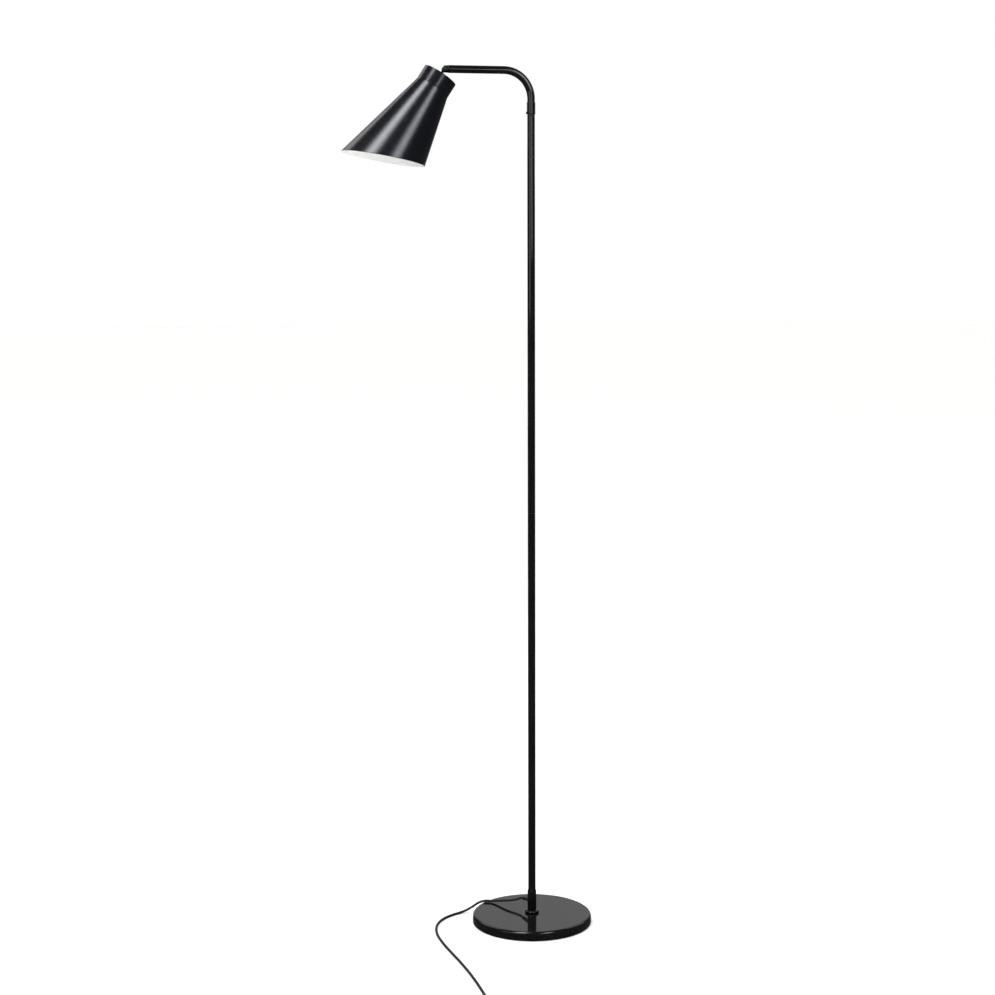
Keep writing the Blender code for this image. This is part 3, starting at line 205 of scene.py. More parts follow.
def turned_bmesh(outline, segments):
    """A solid of revolution about local Z. Outline points on the axis become poles."""
    bm = bmesh.new()
    rings = []
    for radius, along in outline:
        if radius < 1e-7:
            rings.append([bm.verts.new((0.0, 0.0, along))])
            continue
        ring = []
        for k in range(segments):
            around = math.tau * k / segments
            ring.append(bm.verts.new((radius * math.cos(around), radius * math.sin(around), along)))
        rings.append(ring)
    closed = outline[0][0] > 1e-7
    pairs = list(zip(rings, rings[1:]))
    if closed:
        pairs.append((rings[-1], rings[0]))
    for first, second in pairs:
        join_rings(bm, first, second)
    bmesh.ops.recalc_face_normals(bm, faces=bm.faces)
    return bm


def disc(radius, low, high, segments=ROUND):
    return turned_bmesh([(0.0, low), (radius, low), (radius, high), (0.0, high)], segments)


def join_rings(bm, first, second):
    count = max(len(first), len(second))
    for k in range(count if count > 1 else 0):
        corners = [first[k % len(first)], first[(k + 1) % len(first)],
                   second[(k + 1) % len(second)], second[k % len(second)]]
        corners = list(dict.fromkeys(corners))
        bm.faces.new(corners)


def linked(name, data):
    """A new object in the scene."""
    obj = bpy.data.objects.new(name, data)
    bpy.context.scene.collection.objects.link(obj)
    return obj


def smooth_again(obj):
    obj.data.shade_smooth()
    obj.data.set_sharp_from_angle(angle=SHARP)


def solid_from(bm, name, material, matrix=None):
    mesh = bpy.data.meshes.new(name)
    bm.to_mesh(mesh)
    bm.free()
    if matrix is not None:
        mesh.transform(matrix)
    mesh.materials.append(material)
    obj = linked(name, mesh)
    smooth_again(obj)
    return obj


def supported(outline):
    """The same closed outline with a point close to each soft corner, so that long sides shade flat."""
    result = []
    count = len(outline)
    points = [Vector(point) for point in outline]
    for i, here in enumerate(points):
        before = here - points[i - 1]
        after = points[(i + 1) % count] - here
        soft = 0.0 < before.length and 0.0 < after.length and before.angle(after) < SHARP
        if soft and before.length > 4 * SUPPORT:
            near = here - before.normalized() * SUPPORT
            result.append((near.x, near.y))
        result.append(tuple(here))
        if soft and after.length > 4 * SUPPORT:
            near = here + after.normalized() * SUPPORT
            result.append((near.x, near.y))
    return result


def turned(name, outline, material, matrix=None, segments=ROUND, edge=0.0):
    """A turned piece. Outline is (radius, distance along), with its corners rounded by edge."""
    if edge:
        outline = softened(outline, edge)
    return solid_from(turned_bmesh(supported(outline), segments), name, material, matrix)


def joined(name, first, *others):
    """One object from several that share a body, with their materials kept."""
    bm = bmesh.new()
    mesh = first.data
    materials = list(mesh.materials)
    bm.from_mesh(mesh)
    for obj in others:
        start = len(bm.faces)
        shift = len(materials)
        materials += list(obj.data.materials)
        bm.from_mesh(obj.data)
        bm.faces.ensure_lookup_table()
        for face in bm.faces[start:]:
            face.material_index += shift
        bpy.data.objects.remove(obj, do_unlink=True)
    bm.to_mesh(mesh)
    bm.free()
    mesh.materials.clear()
    for material in materials:
        mesh.materials.append(material)
    first.name = name
    return first


def cut_away(obj, tool_bm, matrix, operation="DIFFERENCE"):
    """Cuts a closed shape out of a piece, or joins it on."""
    mesh = bpy.data.meshes.new(obj.name + "_tool")
    tool_bm.to_mesh(mesh)
    tool_bm.free()
    mesh.transform(matrix)
    tool = linked(obj.name + "_tool", mesh)
    modifier = obj.modifiers.new("cut", "BOOLEAN")
    modifier.operation = operation
    modifier.solver = "EXACT"
    modifier.object = tool
    baked(obj)
    bpy.data.objects.remove(tool, do_unlink=True)


def baked(obj):
    """Turns an object's modifiers into its plain mesh."""
    bpy.context.view_layer.update()
    graph = bpy.context.evaluated_depsgraph_get()
    mesh = bpy.data.meshes.new_from_object(obj.evaluated_get(graph), depsgraph=graph)
    obj.modifiers.clear()
    mesh.name = obj.name
    obj.data = mesh
    return obj


def box_bmesh(low, high):
    bm = bmesh.new()
    bmesh.ops.create_cube(bm, size=1.0)
    size = Vector(high) - Vector(low)
    place = Matrix.Translation((Vector(high) + Vector(low)) / 2) @ Matrix.Diagonal((*size, 1.0))
    bmesh.ops.transform(bm, matrix=place, verts=bm.verts)
    return bm


def lifted(height):
    return Matrix.Translation((0.0, 0.0, height))


def sleeve_outline(inner, outer, start, end):
    return [(inner, start), (outer, start), (outer, end), (inner, end)]


def placed(obj, body, slot, *nodes):
    """The piece rides on its body and stands for the CAD nodes, which it hides. The slot is not used."""
    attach(obj, body)
    if nodes:
        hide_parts(*nodes)
    return obj


# ---------------------------------------------------------------- nodes and materials
def add_node(tree, kind, values=None, **settings):
    """Adds a node with its own settings, and fills its inputs with constants or links."""
    node = tree.nodes.new(kind)
    for name, value in settings.items():
        setattr(node, name, value)
    for key, value in (values or {}).items():
        if isinstance(value, bpy.types.NodeSocket):
            tree.links.new(value, node.inputs[key])
        else:
            node.inputs[key].default_value = value
    return node


def of_kind(sockets, kind):
    return [socket for socket in sockets if socket.type == kind]


class Finish:
    """Builds one procedural material step by step, on Object coordinates."""

    def __init__(self, name, colour, roughness, metallic=0.0):
        self.material = bpy.data.materials.new(name)
        self.material.use_nodes = True
        self.tree = self.material.node_tree
        self.shader = self.tree.nodes["Principled BSDF"]
        self.colour = colour
        self.place = add_node(self.tree, "ShaderNodeTexCoord").outputs["Object"]
        self.normal = None
        self.shader.inputs["Base Color"].default_value = (*colour, 1.0)
        self.fixed(Roughness=roughness, Metallic=metallic)

    def noise(self, scale, detail=3.0, stretch=(1.0, 1.0, 1.0)):
        mapping = add_node(self.tree, "ShaderNodeMapping", {"Scale": stretch, "Vector": self.place})
        texture = add_node(self.tree, "ShaderNodeTexNoise",
                           {"Scale": scale, "Detail": detail, "Vector": mapping.outputs["Vector"]})
        return texture.outputs["Fac"]

    def cells(self, scale):
        texture = add_node(self.tree, "ShaderNodeTexVoronoi", {"Scale": scale, "Vector": self.place})
        return texture.outputs["Distance"]

    def ranged(self, value, low, high, new_low, new_high):
        node = add_node(self.tree, "ShaderNodeMapRange", {
            "From Min": low, "From Max": high, "To Min": new_low, "To Max": new_high, "Value": value})
        return node.outputs["Result"]

    def rough(self, value, low, high):
        """Roughness wanders between low and high with a texture."""
        self.tree.links.new(self.ranged(value, 0.3, 0.7, low, high), self.shader.inputs["Roughness"])

    def tint(self, value, other, share, low=0.35, high=0.7):
        """The base colour goes towards another where the texture is high."""
        source = self.shader.inputs["Base Color"]
        mix = add_node(self.tree, "ShaderNodeMix", data_type="RGBA")
        first, second = of_kind(mix.inputs, "RGBA")
        if source.is_linked:
            self.tree.links.new(source.links[0].from_socket, first)
        else:
            first.default_value = (*self.colour, 1.0)
        second.default_value = (*other, 1.0)
        self.tree.links.new(self.ranged(value, low, high, 0.0, share), mix.inputs[0])
        self.tree.links.new(of_kind(mix.outputs, "RGBA")[0], source)

    def bump(self, value, distance, strength=1.0):
        """Small relief, distance in metres. Reliefs add up."""
        values = {"Distance": distance, "Strength": strength, "Height": value}
        if self.normal is not None:
            values["Normal"] = self.normal
        self.normal = add_node(self.tree, "ShaderNodeBump", values).outputs["Normal"]
        self.tree.links.new(self.normal, self.shader.inputs["Normal"])

    def fixed(self, **values):
        """Constant values, set on the shader's own sockets."""
        for name, value in values.items():
            self.shader.inputs[name.replace("_", " ")].default_value = value
        return self


def colours():
    return bpy.context.scene.lamp_colours


def sizes():
    return bpy.context.scene.lamp_sizes


def lacquer_steps(smooth, matt):
    """Gloss lacquer: faint orange peel, fine wiping marks and a little settled dust."""
    return (
        ("rough", (220.0, 4.0), smooth, matt),
        ("tint", (9.0, 5.0), (0.014, 0.014, 0.015), 0.30, 0.45, 0.8),
        ("tint", (1300.0, 2.0), (0.05, 0.05, 0.05), 0.08, 0.70, 0.85),
        ("bump", (520.0, 1.0), 0.000012, 0.5),
        ("bump", (70.0, 2.0), 0.00006, 0.25),
    )


# Colour or the name of the user's colour, roughness, metallic, steps and fixed values. A step names its
# method and its texture: scale, detail and stretch for noise, or scale alone for cells.
RECIPES = {
    "gloss_lacquer": ("lacquer", 0.055, 0.0, lacquer_steps(0.055, 0.13),
                      {"Coat_Weight": 0.3, "Coat_Roughness": 0.03}),
    "shade_gloss": ("shade_outside", 0.20, 0.0, lacquer_steps(0.20, 0.27),
                    {"Coat_Weight": 0.10, "Coat_Roughness": 0.12}),
    "shade_satin_white": ("shade_inside", 0.42, 0.0, (
        ("rough", (180.0, 3.0), 0.36, 0.50),
        ("tint", (30.0, 4.0), (0.74, 0.73, 0.70), 0.35),
        ("bump", (900.0, 2.0), 0.00002, 0.4),
    ), {}),
    "zinc_plate": ((0.52, 0.53, 0.55), 0.3, 1.0, (
        ("rough", (500.0, 4.0, (1.0, 1.0, 0.15)), 0.22, 0.42),
        ("tint", (120.0, 4.0), (0.40, 0.41, 0.43), 0.6),
        ("bump", (1500.0, 3.0, (1.0, 1.0, 0.2)), 0.00001, 0.5),
    ), {}),
    "black_oxide": ((0.030, 0.030, 0.032), 0.32, 0.75, (
        ("rough", (700.0, 3.0), 0.24, 0.42),
        ("tint", (500.0, 4.0), (0.075, 0.073, 0.070), 0.5),
        ("bump", (2400.0, 2.0), 0.000008, 0.6),
    ), {}),
    "sand_cast_iron": ((0.085, 0.084, 0.083), 0.7, 0.6, (
        ("rough", (260.0, 5.0), 0.55, 0.85),
        ("tint", (40.0, 6.0), (0.13, 0.10, 0.08), 0.45),
        ("bump", (420.0, 6.0), 0.0003, 0.8),
        ("bump", (900.0,), 0.00008, 0.5),
    ), {}),
    "foam_rubber": ((0.028, 0.028, 0.028), 0.85, 0.0, (
        ("rough", (300.0, 3.0), 0.75, 0.92),
        ("tint", (1400.0,), (0.045, 0.045, 0.044), 0.7, 0.2, 0.8),
        ("bump", (1400.0,), 0.00012, 0.7),
    ), {}),
    # Soft PVC with the slight waviness of an extruded sheath.
    "cord_sheath": ("cord", 0.42, 0.0, (
        ("rough", (400.0, 3.0), 0.34, 0.52),
        ("tint", (90.0, 4.0), (0.022, 0.022, 0.023), 0.5),
        ("bump", (1800.0, 2.0), 0.00002, 0.5),
        ("bump", (150.0, 2.0), 0.00008, 0.3),
    ), {}),
    # Injection-moulded plastic with a fine eroded texture.
    "moulded_black": ("plastic", 0.36, 0.0, (
        ("rough", (350.0, 3.0), 0.30, 0.46),
        ("tint", (60.0, 4.0), (0.024, 0.024, 0.025), 0.5),
        ("bump", (3200.0,), 0.00002, 0.5),
        ("bump", (2100.0, 2.0), 0.000012, 0.5),
    ), {}),
    "natural_nylon": ((0.72, 0.71, 0.66), 0.45, 0.0, (
        ("rough", (400.0, 3.0), 0.38, 0.55),
        ("tint", (150.0, 3.0), (0.66, 0.63, 0.55), 0.5),
        ("bump", (1500.0, 2.0), 0.00001, 0.5),
    ), {"Subsurface_Weight": 0.15, "Subsurface_Radius": (0.002, 0.0018, 0.0015)}),
    "fired_steatite": ((0.82, 0.80, 0.74), 0.4, 0.0, (
        ("rough", (300.0, 4.0), 0.32, 0.55),
        ("tint", (1100.0,), (0.70, 0.67, 0.60), 0.35, 0.1, 0.7),
        ("bump", (1300.0, 4.0), 0.00003, 0.5),
    ), {}),
    "rolled_brass": ((0.70, 0.53, 0.25), 0.28, 1.0, (
        ("rough", (600.0, 4.0, (1.0, 1.0, 0.2)), 0.20, 0.38),
        ("tint", (110.0, 5.0), (0.46, 0.33, 0.16), 0.5),
        ("bump", (1800.0, 3.0, (1.0, 1.0, 0.2)), 0.000008, 0.5),
    ), {}),
    # White glass with a fired skin under a clear gloss.
    "opal_glass": ((0.88, 0.88, 0.85), 0.22, 0.0, (
        ("rough", (60.0, 3.0), 0.16, 0.28),
        ("tint", (35.0, 3.0), (0.84, 0.83, 0.78), 0.4),
        ("bump", (90.0, 2.0), 0.00003, 0.3),
    ), {"Coat_Weight": 0.8, "Coat_Roughness": 0.04}),
    "studio_floor": ("floor", 0.65, 0.0, (
        ("rough", (6.0, 4.0), 0.6, 0.72),
    ), {}),
}


def paint(name):
    """A material is built the first time it is asked for, and found by name after that."""
    found = bpy.data.materials.get(name)
    if found:
        return found
    tone, roughness, metallic, steps, fixed = RECIPES[name]
    if isinstance(tone, str):
        tone = getattr(colours(), tone)
    finish = Finish(name, tone, roughness, metallic)
    for method, texture, *values in steps:
        source = finish.noise(*texture) if len(texture) > 1 else finish.cells(*texture)
        getattr(finish, method)(source, *values)
    return finish.fixed(**fixed).material


# ---------------------------------------------------------------- geometry node trees
SOCKET_KINDS = {int: "NodeSocketInt", float: "NodeSocketFloat"}


def new_tree(name, **inputs):
    """An empty geometry tree, with an input named after each keyword and a material after them."""
    tree = bpy.data.node_groups.new(name, "GeometryNodeTree")
    interface = tree.interface
    interface.new_socket("Geometry", in_out="INPUT", socket_type="NodeSocketGeometry")
    for key, default in inputs.items():
        label = key.replace("_", " ").title()
        socket = interface.new_socket(label, in_out="INPUT", socket_type=SOCKET_KINDS[type(default)])
        socket.default_value = default
    interface.new_socket("Material", in_out="INPUT", socket_type="NodeSocketMaterial")
    interface.new_socket("Geometry", in_out="OUTPUT", socket_type="NodeSocketGeometry")
    return tree, add_node(tree, "NodeGroupInput").outputs


def end_tree(tree, geometry, given):
    """Realises the instances and sets the tree's material."""
    realised = add_node(tree, "GeometryNodeRealizeInstances", {"Geometry": geometry})
    smooth = add_node(tree, "GeometryNodeSetShadeSmooth", {"Geometry": realised.outputs[0]})
    painted = add_node(tree, "GeometryNodeSetMaterial",
                       {"Geometry": smooth.outputs[0], "Material": given["Material"]})
    add_node(tree, "NodeGroupOutput", {"Geometry": painted.outputs[0]})
    return tree


def math_node(tree, operation, first, second):
    return add_node(tree, "ShaderNodeMath", {0: first, 1: second}, operation=operation).outputs[0]


def tree_once(build):
    """A tree is built the first time it is asked for, and found by name after that."""
    def find():
        name = build.__name__
        return bpy.data.node_groups.get(name) or build(name)
    return find


@tree_once
def rings_tree(name):
    """Round ribs along local +Z, or one inside another, from a first size and place to a last."""
    tree, given = new_tree(name, count=5, first_radius=0.003, last_radius=0.003, first_height=0.0,
                           last_height=0.01, thickness=0.0006)
    line = add_node(tree, "GeometryNodeMeshLine", {"Offset": (0.0, 0.0, 0.0), "Count": given["Count"]},
                    mode="OFFSET")
    index = add_node(tree, "GeometryNodeInputIndex").outputs["Index"]
    share = math_node(tree, "DIVIDE", index, math_node(tree, "SUBTRACT", given["Count"], 1.0))
    radius, height = (
        add_node(tree, "ShaderNodeMix", {
            "Factor": share, "A": given["First " + what], "B": given["Last " + what],
        }, data_type="FLOAT").outputs["Result"]
        for what in ("Radius", "Height")
    )
    place = add_node(tree, "ShaderNodeCombineXYZ", {"Z": height})
    moved = add_node(tree, "GeometryNodeSetPosition",
                     {"Geometry": line.outputs["Mesh"], "Position": place.outputs["Vector"]})
    circle = add_node(tree, "GeometryNodeCurvePrimitiveCircle", {"Resolution": 40, "Radius": 1.0})
    put = add_node(tree, "GeometryNodeInstanceOnPoints", {
        "Points": moved.outputs["Geometry"], "Instance": circle.outputs["Curve"], "Scale": radius})
    loops = add_node(tree, "GeometryNodeRealizeInstances", {"Geometry": put.outputs["Instances"]})
    section = add_node(tree, "GeometryNodeCurvePrimitiveCircle",
                       {"Resolution": 8, "Radius": given["Thickness"]})
    ribs = add_node(tree, "GeometryNodeCurveToMesh", {
        "Curve": loops.outputs["Geometry"], "Profile Curve": section.outputs["Curve"]})
    return end_tree(tree, ribs.outputs["Mesh"], given)


@tree_once
def thread_tree(name):
    """A screw thread or a coil spring: one round bar wound along local +Z."""
    tree, given = new_tree(name, radius=0.0125, turns=5.0, length=0.018, thickness=0.0011)
    spiral = add_node(tree, "GeometryNodeCurveSpiral", {
        "Resolution": 48, "Rotations": given["Turns"], "Start Radius": given["Radius"],
        "End Radius": given["Radius"], "Height": given["Length"]})
    section = add_node(tree, "GeometryNodeCurvePrimitiveCircle",
                       {"Resolution": 10, "Radius": given["Thickness"]})
    bar = add_node(tree, "GeometryNodeCurveToMesh", {
        "Fill Caps": True, "Curve": spiral.outputs["Curve"], "Profile Curve": section.outputs["Curve"]})
    return end_tree(tree, bar.outputs["Mesh"], given)


@tree_once
def perforated_tree(name):
    """Cuts a ring of round holes, along local Z, out of the piece that carries the modifier."""
    tree, given = new_tree(name, count=6, hole_radius=0.0035, circle_radius=0.0185, depth=0.06)
    circle = add_node(tree, "GeometryNodeMeshCircle",
                      {"Vertices": given["Count"], "Radius": given["Circle Radius"]})
    spin = add_node(tree, "ShaderNodeCombineXYZ", {"Z": math_node(tree, "DIVIDE", math.pi, given["Count"])})
    turned_points = add_node(tree, "GeometryNodeTransform",
                             {"Geometry": circle.outputs["Mesh"], "Rotation": spin.outputs["Vector"]})
    drill = add_node(tree, "GeometryNodeMeshCylinder",
                     {"Vertices": 28, "Radius": given["Hole Radius"], "Depth": given["Depth"]})
    put = add_node(tree, "GeometryNodeInstanceOnPoints",
                   {"Points": turned_points.outputs["Geometry"], "Instance": drill.outputs["Mesh"]})
    drills = add_node(tree, "GeometryNodeRealizeInstances", {"Geometry": put.outputs["Instances"]})
    cut = add_node(tree, "GeometryNodeMeshBoolean", operation="DIFFERENCE", solver="EXACT")
    tree.links.new(given["Geometry"], cut.inputs["Mesh 1"])
    tree.links.new(drills.outputs["Geometry"], cut.inputs["Mesh 2"])
    return end_tree(tree, cut.outputs["Mesh"], given)


def grown(name, tree, matrix=None, source=None, **values):
    """The plain mesh that a tree makes, on a new object or on the given one."""
    obj = source or linked(name, bpy.data.meshes.new(name))
    modifier = obj.modifiers.new(tree.name, "NODES")
    modifier.node_group = tree
    for item in tree.interface.items_tree:
        key = item.name.replace(" ", "_").lower()
        if item.in_out == "INPUT" and key in values:
            modifier[item.identifier] = values[key]
    baked(obj)
    if matrix is not None:
        obj.data.transform(matrix)
    smooth_again(obj)
    if not obj.data.materials:
        obj.data.materials.append(values["material"])
    return obj


# ---------------------------------------------------------------- stage, light and camera
CAMERA_PLACE = Vector((-0.6171, -3.1405, 1.118))
CAMERA_PITCH = math.radians(83.67)
CAMERA_HEADING = math.radians(-10.056)
CAMERA_ROLL = math.radians(-0.18)
CAMERA_LENS = 66.79
FLOOR_RADIUS = 60.0
BACKDROP = 1.0               # what the camera sees beyond the floor
ROOM_DARK = 0.05             # what gloss reflects where nothing stands
BACK_WALL = 0.46
BACK_WALL_WAY = (0.16, 0.925, 0.345)
SUN_STRENGTH = 4.1
SUN_ANGLE = math.radians(100.0)
SUN_TURN = (math.radians(8.0), math.radians(-10.0), 0.0)
COOL = (0.93, 0.95, 1.0)
SHADE_CENTRE = (-0.20, 0.0, 1.42)
POLE_CENTRE = (0.0, 0.0, 0.9)

# Name, way to the lamp from its aim, distance, aim, width, height and how bright it looks.
SHADE_LIGHTS = (
    ("main_box", (-0.33, -0.41, 0.85), 2.2, SHADE_CENTRE, 1.15, 1.2, 12.0),
    ("main_box_low", (-0.59, -0.50, 0.64), 2.2, SHADE_CENTRE, 0.8, 0.6, 6.0),
    ("second_box", (0.48, -0.79, 0.38), 2.5, SHADE_CENTRE, 1.0, 1.0, 8.0),
    ("second_box_low", (0.27, -0.96, 0.03), 2.5, SHADE_CENTRE, 0.8, 0.5, 4.5),
)
ROOM_LIGHTS = (
    ("left_wall", (-0.79, -0.61, 0.0), 2.6, (0.0, 0.0, 1.75), 2.0, 1.4, 0.9),
    ("rear_left", (-0.55, 0.65, 0.52), 2.6, POLE_CENTRE, 1.0, 1.6, 1.4),
    ("rear_right", (0.75, 0.45, 0.48), 2.6, POLE_CENTRE, 0.8, 1.6, 1.2),
    ("left_strip", (-0.45, -0.89, 0.05), 2.6, (0.0, 0.0, 1.60), 0.22, 0.7, 2.2),
)


def sky():
    """A pale backdrop for the camera, and for reflections a dim room with one pale wall behind."""
    world = bpy.data.worlds.new("studio_walls")
    world.use_nodes = True
    tree = world.node_tree
    room = tree.nodes["Background"]
    looking = add_node(tree, "ShaderNodeTexCoord").outputs["Generated"]
    toward = add_node(tree, "ShaderNodeVectorMath", {0: looking, 1: BACK_WALL_WAY}, operation="DOT_PRODUCT")
    ramp = add_node(tree, "ShaderNodeValToRGB", {"Fac": toward.outputs["Value"]})
    ramp.color_ramp.interpolation = "EASE"
    for element, position, value in zip(ramp.color_ramp.elements, (0.80, 0.95), (ROOM_DARK, BACK_WALL)):
        element.position = position
        element.color = (value, value, value, 1.0)
    tree.links.new(ramp.outputs["Color"], room.inputs["Color"])
    backdrop = add_node(tree, "ShaderNodeBackground", {"Color": (BACKDROP, BACKDROP, BACKDROP, 1.0)})
    mix = add_node(tree, "ShaderNodeMixShader", {
        0: add_node(tree, "ShaderNodeLightPath").outputs["Is Camera Ray"],
        1: room.outputs["Background"], 2: backdrop.outputs["Background"]})
    tree.links.new(mix.outputs["Shader"], tree.nodes["World Output"].inputs["Surface"])
    bpy.context.scene.world = world


def softbox(name, way, distance, aim, wide, high, glow, colour=(1.0, 1.0, 1.0)):
    """A soft lamp that stands the given way from its aim. Glow is how bright it looks."""
    light = bpy.data.lights.new(name, "AREA")
    light.shape = "RECTANGLE"
    light.size = wide
    light.size_y = high
    light.energy = glow * math.pi * wide * high
    light.color = colour
    obj = linked(name, light)
    obj.location = Vector(aim) + Vector(way).normalized() * distance
    obj.rotation_euler = (-Vector(way)).to_track_quat("-Z", "Y").to_euler()


def feathered(name, way, distance, aim, wide, high, glow, colour):
    """A softbox that fades out to its sides: lamps of three widths, one behind the other."""
    for i, share in enumerate((0.35, 0.65, 1.0)):
        softbox(f"{name}_{i + 1}", way, distance + 0.02 * i, aim, wide * share, high, glow / 3, colour)


class LAMP_OT_stage(bpy.types.Operator):
    """Makes the floor, the studio light and the camera"""

    bl_idname = "lamp.stage"
    bl_label = "Stage"

    def execute(self, context):
        bm = bmesh.new()
        bmesh.ops.create_circle(bm, cap_ends=True, segments=96, radius=FLOOR_RADIUS)
        floor = solid_from(bm, "studio_floor_plane", paint("studio_floor"))
        sky()
        floor.visible_glossy = False
        sun = bpy.data.lights.new("soft_overhead", "SUN")
        sun.energy = SUN_STRENGTH
        sun.angle = SUN_ANGLE
        overhead = linked("soft_overhead", sun)
        overhead.rotation_euler = SUN_TURN
        overhead.visible_glossy = False
        for light in SHADE_LIGHTS:
            feathered(*light, COOL)
        for light in ROOM_LIGHTS:
            softbox(*light)

        lens = bpy.data.cameras.new("camera")
        lens.lens = CAMERA_LENS
        lens.sensor_width = 36.0
        camera = linked("camera", lens)
        turn = (Matrix.Rotation(CAMERA_HEADING, 3, "Z") @ Matrix.Rotation(CAMERA_PITCH, 3, "X")
                @ Matrix.Rotation(CAMERA_ROLL, 3, "Z"))
        camera.location = CAMERA_PLACE
        camera.rotation_euler = turn.to_euler()
        context.scene.camera = camera
        context.scene.view_settings.view_transform = "Standard"
        return {"FINISHED"}


# ---------------------------------------------------------------- cord
OUTLET_ANGLE = math.radians(113.0)
OUTLET_HEIGHT = 0.0386
OUTLET_DROOP = math.radians(8.0)
OUTLET_WAY = Vector((
    math.cos(OUTLET_DROOP) * math.cos(OUTLET_ANGLE),
    math.cos(OUTLET_DROOP) * math.sin(OUTLET_ANGLE),
    -math.sin(OUTLET_DROOP),
))
OUTLET_ORIGIN = Vector((0.0, 0.0, OUTLET_HEIGHT))
SWITCH_CENTRE = middle("foot_switch_cover").xy.to_3d()
SWITCH_CORD_HEIGHT = 0.0058
COIL_CENTRE = middle("cord_coil").xy.to_3d()
COIL_TURN_OUTER = 0.0316
COIL_TURN_INNER = 0.0184
COIL_LAYER_TURNS = 3.0
COIL_CLIMB_TURNS = 0.25
TURN_POINTS = 36
CORD_ON_FLOOR = 0.0025
PLUG_END = Vector((-0.0284, -0.478, 0.0071))

LEAD_ROUTE = (
    (-0.0165, 0.0330, 0.0322), (-0.0240, 0.0358, 0.0296), (-0.0335, 0.0405, 0.0272),
    (-0.0440, 0.0500, 0.0244), (-0.0535, 0.0600, 0.0213), (-0.0630, 0.0668, 0.0193),
    (-0.0725, 0.0700, 0.0190), (-0.0840, 0.0705, 0.0165), (-0.0960, 0.0690, 0.0102),
    (-0.1080, 0.0660, 0.0052), (-0.1210, 0.0610, 0.0029), (-0.1350, 0.0530, 0.0025),
    (-0.1530, 0.0370, 0.0025), (-0.1670, 0.0140, 0.0025), (-0.1750, -0.0150, 0.0025),
    (-0.1770, -0.0500, 0.0025), (-0.1735, -0.0900, 0.0025), (-0.1665, -0.1350, 0.0025),
    (-0.1590, -0.1800, 0.0025), (-0.1525, -0.2250, 0.0025), (-0.1475, -0.2700, 0.0025),
    (-0.1440, -0.3150, 0.0025), (-0.1415, -0.3550, 0.0027), (-0.1402, -0.3880, 0.0040),
)
MIDDLE_ROUTE = (
    (-0.1399, -0.5190, 0.0051), (-0.1372, -0.5315, 0.0034), (-0.1300, -0.5410, 0.0026),
    (-0.1180, -0.5455, 0.0025), (-0.1020, -0.5456, 0.0025),
)
END_ROUTE = ((-0.0284, -0.4900, 0.0069),)


def smooth_line(points, steps=6):
    """Points of a Catmull-Rom curve through the given ones."""
    ends = [2 * points[0] - points[1], *points, 2 * points[-1] - points[-2]]
    line = []
    for before, start, end, after in zip(ends, ends[1:], ends[2:], ends[3:]):
        for i in range(steps):
            t = i / steps
            line.append(0.5 * (
                2 * start + (end - before) * t
                + (2 * before - 5 * start + 4 * end - after) * t * t
                + (3 * start - before - 3 * end + after) * t * t * t
            ))
    line.append(points[-1])
    return line


def coil_turns(diameter):
    """The coil's turns, counter-clockwise: a flat layer winding in, and one on it winding out."""
    total = 2 * COIL_LAYER_TURNS + COIL_CLIMB_TURNS
    count = round(total * TURN_POINTS)
    turns = []
    for i in range(count + 1):
        turn = total * i / count
        inward = min(turn, COIL_LAYER_TURNS) / COIL_LAYER_TURNS
        outward = max(turn - COIL_LAYER_TURNS - COIL_CLIMB_TURNS, 0.0) / COIL_LAYER_TURNS
        climb = min(max((turn - COIL_LAYER_TURNS) / COIL_CLIMB_TURNS, 0.0), 1.0)
        radius = COIL_TURN_OUTER + (COIL_TURN_INNER - COIL_TURN_OUTER) * (inward - outward)
        height = CORD_ON_FLOOR + diameter * climb * climb * (3 - 2 * climb)
        angle = math.tau * turn - math.pi / 2
        turns.append(COIL_CENTRE + Vector((radius * math.cos(angle), radius * math.sin(angle), height)))
    return turns


def cord_curve(name, line, diameter):
    curve = bpy.data.curves.new(name, "CURVE")
    curve.dimensions = "3D"
    curve.bevel_depth = diameter / 2
    curve.bevel_resolution = 6
    curve.use_fill_caps = True
    spline = curve.splines.new("POLY")
    spline.points.add(len(line) - 1)
    for point, place in zip(spline.points, line):
        point.co = (*place, 1.0)
    spline.use_smooth = True
    curve.materials.append(paint("cord_sheath"))
    return linked(name, curve)


def relief_tip(node, origin, way):
    """Where the cord meets a strain relief's tip."""
    return origin + way * (extent(node, origin, way)[1] + GAP)


def switch_side(side):
    """Where the cord's axis crosses the foot switch, and which way it leaves on that side."""
    return SWITCH_CENTRE + Vector((0.0, 0.0, SWITCH_CORD_HEIGHT)), Vector((0.0, side, 0.0))


